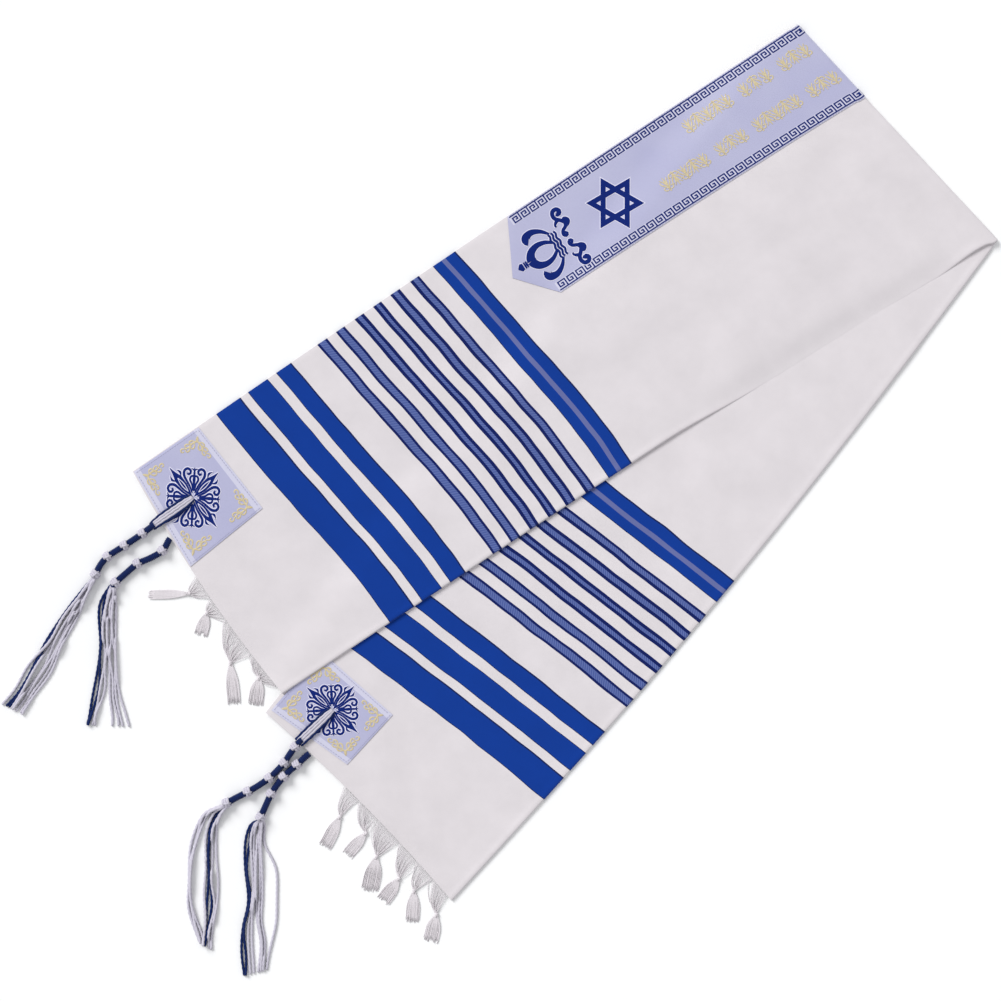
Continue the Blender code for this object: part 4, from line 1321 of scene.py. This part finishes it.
# %% Tubes
def add_tube(bm, path, radius, sides=7, finish=0, lobes=0.0, pitch=8 * MM, taper=0.75):
    """Roll a grid round a path. Its ends are drawn in to a point, and its UV is in metres."""
    path = [path[0]] + list(path) + [path[-1]]
    steps = len(path) - 1
    part = bmesh.new()
    bmesh.ops.create_grid(part, x_segments=steps, y_segments=sides, size=0.5)
    uv_layer = part.loops.layers.uv.new("flat_cloth")
    frames = []
    side = None
    travelled = 0.0
    for number, point in enumerate(path):
        # the first and last points are doubled, so look two points along from there
        ahead = (path[min(number + 2, steps)] - path[max(number - 2, 0)]).normalized()
        if side is None:
            side = ahead.orthogonal()
        side = (side - ahead * side.dot(ahead)).normalized()
        if number:
            travelled += (point - path[number - 1]).length
        frames.append((ahead, side, ahead.cross(side), travelled))
    for vertex in part.verts:
        vertex.co = (round((vertex.co.x + 0.5) * steps), round((vertex.co.y + 0.5) * sides), 0)
    for face in part.faces:
        face.material_index = finish
        face.smooth = True
        for loop in face.loops:
            number, turn = int(loop.vert.co.x), loop.vert.co.y / sides
            loop[uv_layer].uv = (frames[number][3], turn * 2 * math.pi * radius)
    for vertex in part.verts:
        number, turn = int(vertex.co.x), vertex.co.y / sides * 2 * math.pi
        ahead, first, second, travelled = frames[number]
        size = radius * (1 + lobes * math.cos(2 * turn - 2 * math.pi * travelled / pitch))
        if number in (0, steps):
            size = 0.0
        elif number in (1, steps - 1):
            size *= taper
        vertex.co = path[number] + (first * math.cos(turn) + second * math.sin(turn)) * size
    bmesh.ops.remove_doubles(part, verts=part.verts, dist=1e-6)
    bmesh.ops.recalc_face_normals(part, faces=part.faces)
    merge_part(bm, part)


bm = bmesh.new()
add_tube(bm, [Vector((0, 0, step * MM)) for step in range(10)], 1 * MM)
print("a short tube has", len(bm.faces), "faces")
bm.free()

# %% Yarn finish
STRAND_PITCH = 1.3 * MM


def make_yarn(name, colour, dark):
    """Twisted yarn: slanted lines from the tube's own UV, with painted shade in the groove between them."""
    made, tree, shader = new_material(name, roughness=0.85, sheen=0.1)
    uv, along, around = flat_coords(tree)
    slope = plus(tree, times(tree, along, 0.9), around)
    groove = waves(tree, slope, STRAND_PITCH)
    fuzz = add_noise(tree, uv, 700.0)
    height = plus(tree, groove, times(tree, fuzz, 0.6))
    add_bump(tree, shader, height, 0.5, 0.25 * MM)
    # the colour follows the groove: painted shade between the two twisted yarns, with a little random fuzz
    share = plus(tree, times(tree, groove, 0.7), times(tree, fuzz, 0.3))
    tree.links.new(mix_colour(tree, share, dark, colour), shader.inputs["Base Color"])
    return made


# the second colour of each yarn is the painted shade in its grooves
WHITE_YARN = make_yarn("white_yarn", paint(236, 233, 242), paint(172, 166, 186))
NAVY_YARN = make_yarn("navy_yarn", paint(14, 44, 110), paint(4, 20, 62))
FRINGE_YARN = make_yarn("fringe_yarn", paint(246, 241, 244), paint(222, 215, 220))
print("yarns", WHITE_YARN.name, NAVY_YARN.name, FRINGE_YARN.name)

# %% Tassel tables
CORD = 1.4 * MM  # radius of one cord
WOUND = 3.8  # radius of the wound stem, mm
KNOT = 6.0  # radius of a knot, mm
KNOT_CORD = 1.6
WHITE, BLUE = 0, 1  # places of the two finishes
# The stem's points are x, y, z in mm. A point is a knot where the last number is 1.
# The free cords spread between two outlines given in the picture, and each cord has its place
# between them, 0 to 100, at each of their points.
TASSELS = {
    "tzitzit_upper_patch": {
        "bundle": 4,
        "stem": (
            (-333.6, 3.3, 6.0, 0), (-341.5, -2.3, 7.0, 0), (-355.0, -11.8, 7.6, 0),
            (-368.0, -20.7, 7.2, 0), (-378.0, -28.4, 6.2, 0), (-387.9, -35.8, 5.6, 1),
            (-397.6, -42.4, 4.2, 0), (-407.4, -48.8, 5.2, 1), (-416.6, -54.6, 4.2, 0),
            (-425.9, -60.8, 5.2, 1), (-433.5, -69.6, 4.2, 0), (-438.9, -79.7, 4.6, 1),
        ),
        "left": ((93, 577), (70, 604), (49, 636), (30, 664), (13, 690), (3, 704)),
        "right": ((97, 576), (82, 606), (66, 640), (53, 668), (36, 692), (23, 714)),
        "cords": (
            (BLUE, (5, 0, 5, 18, 24, 16)),
            (WHITE, (15, 20, 18, 0, 0, 0)),
            (BLUE, (25, 12, 12, 28, 34, 26)),
            (WHITE, (35, 40, 36, 34, 40, 38)),
            (WHITE, (50, 50, 50, 60, 52, 50)),
            (WHITE, (65, 72, 66, 72, 68, 66)),
            (WHITE, (80, 86, 84, 86, 84, 84)),
            (WHITE, (95, 100, 96, 100, 100, 100)),
        ),
    },
    "tzitzit_upper_under": {
        "bundle": 0,
        "stem": (
            (-358.7, -41.3, 4.1, 0), (-366.3, -54.4, 5.2, 1), (-380.0, -62.6, 4.2, 0),
            (-393.3, -68.4, 5.2, 1), (-405.4, -78.4, 4.2, 0), (-417.2, -89.0, 5.2, 1),
            (-420.5, -94.0, 4.4, 0),
        ),
        "left": ((110, 586), (100.5, 606), (98.5, 646), (96.5, 680), (90, 712), (86.5, 724.5)),
        "right": ((115, 586), (115.5, 616), (117, 656), (119, 690), (125, 714), (128.5, 726)),
        "cords": (
            (BLUE, (0, 0, 5, 0, 0, 0)),
            (BLUE, (20, 14, 18, 12, 6, 6)),
            (WHITE, (30, 28, 30, 26, 13, 14)),
            (WHITE, (45, 42, 44, 38, 20, 23)),
            (WHITE, (60, 56, 54, 58, 66, 62)),
            (WHITE, (70, 70, 68, 72, 78, 74)),
            (WHITE, (85, 84, 84, 86, 88, 88)),
            (WHITE, (100, 100, 100, 100, 100, 100)),
        ),
    },
    "tzitzit_lower_patch": {
        "bundle": 3,
        "stem": (
            (-181.7, -226.8, 6.0, 0), (-189.0, -233.8, 7.0, 0), (-206.0, -250.0, 7.6, 0),
            (-219.0, -262.5, 7.2, 0), (-222.4, -267.0, 8.0, 1), (-228.4, -275.0, 5.4, 0),
            (-234.4, -284.3, 5.6, 1), (-241.8, -292.4, 4.2, 0), (-250.6, -300.8, 5.2, 1),
            (-262.2, -308.9, 4.2, 0), (-274.0, -315.7, 5.2, 1), (-286.5, -322.2, 4.2, 0),
            (-296.8, -327.8, 4.6, 1),
        ),
        "left": (
            (222, 805), (205, 812), (196.5, 828), (190, 855),
            (188, 884), (189, 906), (197, 933), (199.5, 942),
        ),
        "right": (
            (227, 806), (222, 813), (217, 828), (215.5, 855),
            (218, 884), (217.5, 906), (212.5, 933), (211, 949),
        ),
        "cords": (
            (WHITE, (0, 0, 0, 0, 0, 0, 0, 0)),
            (WHITE, (20, 12, 10, 8, 7, 7, 14, 12)),
            (WHITE, (35, 20, 18, 12, 12, 13, 26, 26)),
            (WHITE, (50, 50, 58, 60, 58, 56, 46, 42)),
            (BLUE, (60, 64, 68, 70, 70, 66, 50, 36)),
            (BLUE, (70, 76, 76, 76, 76, 76, 62, 50)),
            (WHITE, (85, 90, 86, 84, 84, 86, 84, 80)),
            (WHITE, (100, 100, 100, 100, 100, 100, 100, 100)),
        ),
    },
    "tzitzit_lower_under": {
        "bundle": 0,
        "stem": (
            (-207.4, -274.2, 4.1, 0), (-213.6, -279.8, 4.2, 0), (-220.5, -286.2, 5.2, 1),
            (-227.6, -292.0, 4.2, 0), (-234.8, -299.4, 5.2, 1), (-242.0, -308.0, 4.2, 0),
            (-248.4, -317.6, 5.3, 1), (-254.2, -330.0, 4.2, 0), (-259.9, -342.9, 4.6, 1),
        ),
        "left": (
            (259, 819), (250.5, 825), (246.5, 841), (245.7, 868),
            (247.3, 900), (243.2, 925), (242.5, 949), (245, 975),
        ),
        "right": (
            (263, 819), (265, 826), (265.5, 844), (275, 868),
            (278, 892), (276.6, 915), (271.7, 940), (267.6, 969),
        ),
        "cords": (
            (BLUE, (0, 0, 0, 0, 0, 0, 0, 0)),
            (BLUE, (15, 12, 12, 8, 7, 7, 8, 5)),
            (WHITE, (30, 28, 26, 20, 15, 18, 24, 24)),
            (WHITE, (40, 42, 40, 28, 24, 28, 30, 40)),
            (WHITE, (60, 56, 54, 38, 32, 42, 60, 56)),
            (WHITE, (70, 68, 66, 46, 40, 50, 70, 68)),
            (WHITE, (85, 82, 80, 54, 47, 56, 80, 80)),
            (WHITE, (100, 100, 100, 100, 100, 100, 100, 100)),
        ),
    },
}
print("cords in each tassel", [len(tassel["cords"]) for tassel in TASSELS.values()])

# %% Tassel stems
def wind(path, radius, pitch, start_turn=0.0):
    """A spiral round a path, ten points to a turn."""
    steps = len(path) - 1
    length = sum((path[number + 1] - path[number]).length for number in range(steps))
    turns = max(length / pitch, 1.0)
    count = int(turns * 10)
    spiral = []
    for step in range(count + 1):
        share = step / count
        number = min(int(share * steps), steps - 1)
        place = path[number].lerp(path[number + 1], share * steps - number)
        ahead = (path[number + 1] - path[number]).normalized()
        beside = right_of(ahead)
        above = beside.cross(ahead)
        turn = start_turn + 2 * math.pi * turns * step / count
        spiral.append(place + (beside * math.cos(turn) + above * math.sin(turn)) * radius)
    return spiral


def add_knot(bm, place, ahead):
    """A white double knot: two turns of doubled cord with one cord slanting over them."""
    place = Vector((place.x, place.y, max(place.z, (KNOT + 0.1) * MM)))
    line = [place - ahead * 3.4 * MM, place, place + ahead * 3.4 * MM]
    for turn in (0.0, math.pi):
        spiral = wind(line, (KNOT - KNOT_CORD) * MM, 5.4 * MM, turn)
        add_tube(bm, spiral, KNOT_CORD * MM, sides=7, finish=WHITE)
    beside = right_of(ahead)
    slant = [
        place - ahead * 4.2 * MM - beside * 2.0 * MM + Vector((0, 0, 2.2 * MM)),
        place + Vector((0, 0, KNOT * MM)) - beside * 0.6 * MM,
        place + ahead * 4.2 * MM + beside * 1.6 * MM + Vector((0, 0, 2.2 * MM)),
    ]
    add_tube(bm, smooth_path(slant, 8), 1.0 * MM, sides=6, finish=WHITE)


BUNDLE = ((-2.1, BLUE), (-1.15, WHITE), (0.0, WHITE), (1.15, WHITE), (2.1, BLUE))
BUNDLE_SPREAD = (0.55, 1.0, 1.12, 1.0, 0.75)  # how far its cords part at each point
BUNDLE_APART = 2.15  # mm
BUNDLE_CORD = 1.5
WINDING = 0.95  # radius of the cord that is wound round the stem, mm


def add_stem(bm, spec):
    """The part of a tassel above its last knot: a bundle of cords on the patch, then the wound stem."""
    points = [Vector((row[0], row[1], max(row[2], WOUND + 0.1))) * MM for row in spec["stem"]]
    bundle = spec["bundle"]
    if bundle:
        start = points[:bundle + 1]
        for order, colour in BUNDLE:
            line = []
            for number, point in enumerate(start):
                ahead = (start[min(number + 1, bundle)] - start[max(number - 1, 0)]).normalized()
                aside = right_of(ahead) * order * BUNDLE_SPREAD[number] * BUNDLE_APART * MM
                line.append(point + aside + Vector((0, 0, -abs(order) * 0.35 * MM)))
            add_tube(bm, smooth_path(line, 36), BUNDLE_CORD * MM, sides=8, finish=colour, lobes=0.10)
        for order in (-0.6, 0.6):
            line = [point + Vector((order * MM, -order * MM, -2.0 * MM)) for point in start[1:]]
            add_tube(bm, smooth_path(line, 24), 1.35 * MM, sides=7, finish=WHITE)
    wound = points[max(bundle - 1, 0):]
    if bundle:
        wound[0] = points[bundle - 1].lerp(points[bundle], 0.72)
    line = smooth_path(wound, 10 * len(wound))
    add_tube(bm, line, 2.8 * MM, sides=9, finish=BLUE)
    spiral = wind(line, (WOUND - WINDING) * MM, 2 * WINDING * MM)
    add_tube(bm, spiral, WINDING * MM, sides=6, finish=BLUE)
    for number, row in enumerate(spec["stem"]):
        if row[3]:
            ahead = points[min(number + 1, len(points) - 1)] - points[number - 1]
            add_knot(bm, points[number], Vector((ahead.x, ahead.y, 0)).normalized())


short_stem = [Vector((0, 0, 0)), Vector((10 * MM, 0, 0))]
print("turns on a 10 mm stem", len(wind(short_stem, 3 * MM, 1.9 * MM)) // 10)

# %% Free cords
CORD_STEPS = 110
SWAY = 1.1 * MM  # how far a cord wavers from its smooth line


def cord_points(spec, shares, top):
    """Plan of one free cord, from the last knot to its end."""
    line = [top]
    for left, right, share in zip(spec["left"], spec["right"], shares):
        line.append(pixel(*left).lerp(pixel(*right), share / 100).to_3d())
    return line


def stack_cords(lines, radius, floor):
    """Lift each cord onto the ones laid before it, where it crosses or touches them."""
    for number, line in enumerate(lines):
        for step, point in enumerate(line):
            high = floor + radius
            for under in lines[:number]:
                for near in under[max(step - 2, 0):step + 3]:
                    apart = math.hypot(near.x - point.x, near.y - point.y)
                    if apart < 1.9 * radius and near.z < floor + 4.2 * radius:
                        high = max(high, near.z + math.sqrt((1.9 * radius) ** 2 - apart * apart))
            point.z = high
        smooth = [point.z for point in line]
        for step in range(2, len(line) - 2):
            line[step].z = max(smooth[step], sum(smooth[step - 2:step + 3]) / 5)


def make_tassel(name, spec):
    """A whole tassel as one piece with a white and a navy finish."""
    bm = bmesh.new()
    bm.loops.layers.uv.new("flat_cloth")
    add_stem(bm, spec)
    dice = random.Random(name)
    top = Vector(spec["stem"][-1][:3]) * MM
    order = sorted(range(len(spec["cords"])), key=lambda number: spec["cords"][number][0] == WHITE)
    lines = []
    for number in order:
        shares = spec["cords"][number][1]
        line = smooth_path(cord_points(spec, shares, top.copy()), CORD_STEPS)
        wave, phase = dice.uniform(1.2, 3.2), dice.uniform(0, 6)
        for step, point in enumerate(line):
            point.x += SWAY * math.sin(wave * step / 18 + phase) * min(step / 20, 1.0)
        lines.append(line)
    stack_cords(lines, CORD, 0.15 * MM)
    for number, line in zip(order, lines):
        for step in range(10):
            line[step].z = top.z + (line[step].z - top.z) * ease(step / 10)
        add_tube(bm, line, CORD, sides=8, finish=spec["cords"][number][0], lobes=0.16, pitch=6 * MM)
    made = new_object(name + "_cords", bm)
    made.data.materials.append(WHITE_YARN)
    made.data.materials.append(NAVY_YARN)
    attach(made, "root")
    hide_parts(name)
    return made


tassels = [make_tassel(name, spec) for name, spec in TASSELS.items()]
for tassel in tassels:
    print(tassel.name, len(tassel.data.polygons), [round(side, 3) for side in tassel.dimensions])

# %% [markdown]
# ## Fringe
#
# The warp threads that stick out past the end are the fringe. Groups of them are knotted, and
# below each knot they spread as a small tassel. Each thread is a thin tube from the cloth's end to
# the nearest knot, so the fine net between the knots comes by itself.

# %% Fringe
# Each small tassel's row: share across the band, its knot and tip in mm, and half its width.
FRINGES = {
    "fringe_upper": {
        "band": "upper", "from": 0.455, "to": 0.965, "threads": 84,
        "tassels": (
            (0.500, -338.0, -101.0, -381.0, -102.0, 5.0), (0.585, -318.5, -122.0, -325.0, -146.0, 7.0),
            (0.725, -293.0, -176.0, -288.5, -220.0, 7.0), (0.890, -262.0, -192.0, -266.0, -221.0, 8.0),
        ),
    },
    "fringe_lower": {
        "band": "lower", "from": 0.405, "to": 0.975, "threads": 96,
        "tassels": (
            (0.435, -174.1, -342.9, -190.4, -375.4, 7.0), (0.520, -146.0, -361.0, -166.0, -384.0, 6.5),
            (0.625, -134.5, -386.0, -142.0, -423.2, 9.0), (0.765, -110.1, -410.1, -127.5, -434.5, 7.5),
            (0.847, -93.9, -423.2, -95.5, -456.8, 7.0), (0.938, -69.5, -449.0, -76.0, -478.0, 8.0),
        ),
    },
}
THREAD = 0.36 * MM  # radius
STRANDS = 15  # in each of a small tassel's two layers
FRINGE_HIGH = 2.2 * MM  # where the threads leave the cloth, and where the small knots lie


def add_fringe_tassel(bm, knot, tip, half, dice):
    """A knot and the small spread tassel below it."""
    ahead = (tip - knot).normalized()
    beside = Vector((ahead.y, -ahead.x, 0))
    knot = knot + Vector((0, 0, FRINGE_HIGH))
    line = [knot - ahead * 1.6 * MM, knot, knot + ahead * 2.6 * MM]
    for turn in (0.0, math.pi):
        add_tube(bm, wind(line, 1.3 * MM, 3.2 * MM, turn), 0.85 * MM, sides=6)
    for number in range(2 * STRANDS):
        share = (number % STRANDS) / (STRANDS - 1) * 2 - 1
        layer = number // STRANDS
        end = tip + beside * half * MM * share * dice.uniform(0.85, 1.05)
        end += ahead * dice.uniform(-3.5, 1.5) * MM
        bulge = knot.lerp(end, 0.45) + beside * half * MM * share * 0.45
        bulge.z = (1.6 if layer else 0.7) * MM
        end.z = (1.1 if layer else 0.5) * MM
        add_tube(bm, smooth_path([knot + beside * share * 0.9 * MM, bulge, end], 7), THREAD * 1.35, sides=5)


def make_fringe(name, spec):
    """Knotted fringe along the part of a band's end that shows."""
    bm = bmesh.new()
    bm.loops.layers.uv.new("flat_cloth")
    dice = random.Random(name)
    band = spec["band"]
    out = END_OUTS[band].to_3d()
    knots = []
    for at, knot_x, knot_y, tip_x, tip_y, half in spec["tassels"]:
        knot = Vector((knot_x, knot_y, 0)) * MM
        knots.append((at, knot))
        add_fringe_tassel(bm, knot, Vector((tip_x, tip_y, 0)) * MM, half, dice)
    count = spec["threads"]
    for number in range(count):
        across = spec["from"] + (spec["to"] - spec["from"]) * (number + 0.5) / count
        root = band_point(band, 1.0, across).to_3d()
        knot = min(knots, key=lambda pair: abs(pair[0] - across) + dice.uniform(0, 0.06))[1]
        low = (0.7 + 0.9 * (number % 3)) * MM
        root.z = FRINGE_HIGH
        away = knot - root
        away.z = 0
        middle = root.lerp(knot, 0.5) + out * min(away.length * dice.uniform(0.08, 0.26), 7 * MM)
        middle.z = low
        end = knot + Vector((dice.uniform(-0.8, 0.8) * MM, dice.uniform(-0.8, 0.8) * MM, 2.0 * MM))
        line = [root - out * 1.0 * MM, root + out * 1.5 * MM, middle, end]
        add_tube(bm, smooth_path(line, 9), THREAD, sides=5)
    made = new_object(name + "_threads", bm)
    made.data.materials.append(FRINGE_YARN)
    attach(made, "root")
    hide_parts(name)
    return made


fringes = [make_fringe(name, spec) for name, spec in FRINGES.items()]
for fringe in fringes:
    print(fringe.name, len(fringe.data.polygons), [round(side, 3) for side in fringe.dimensions])
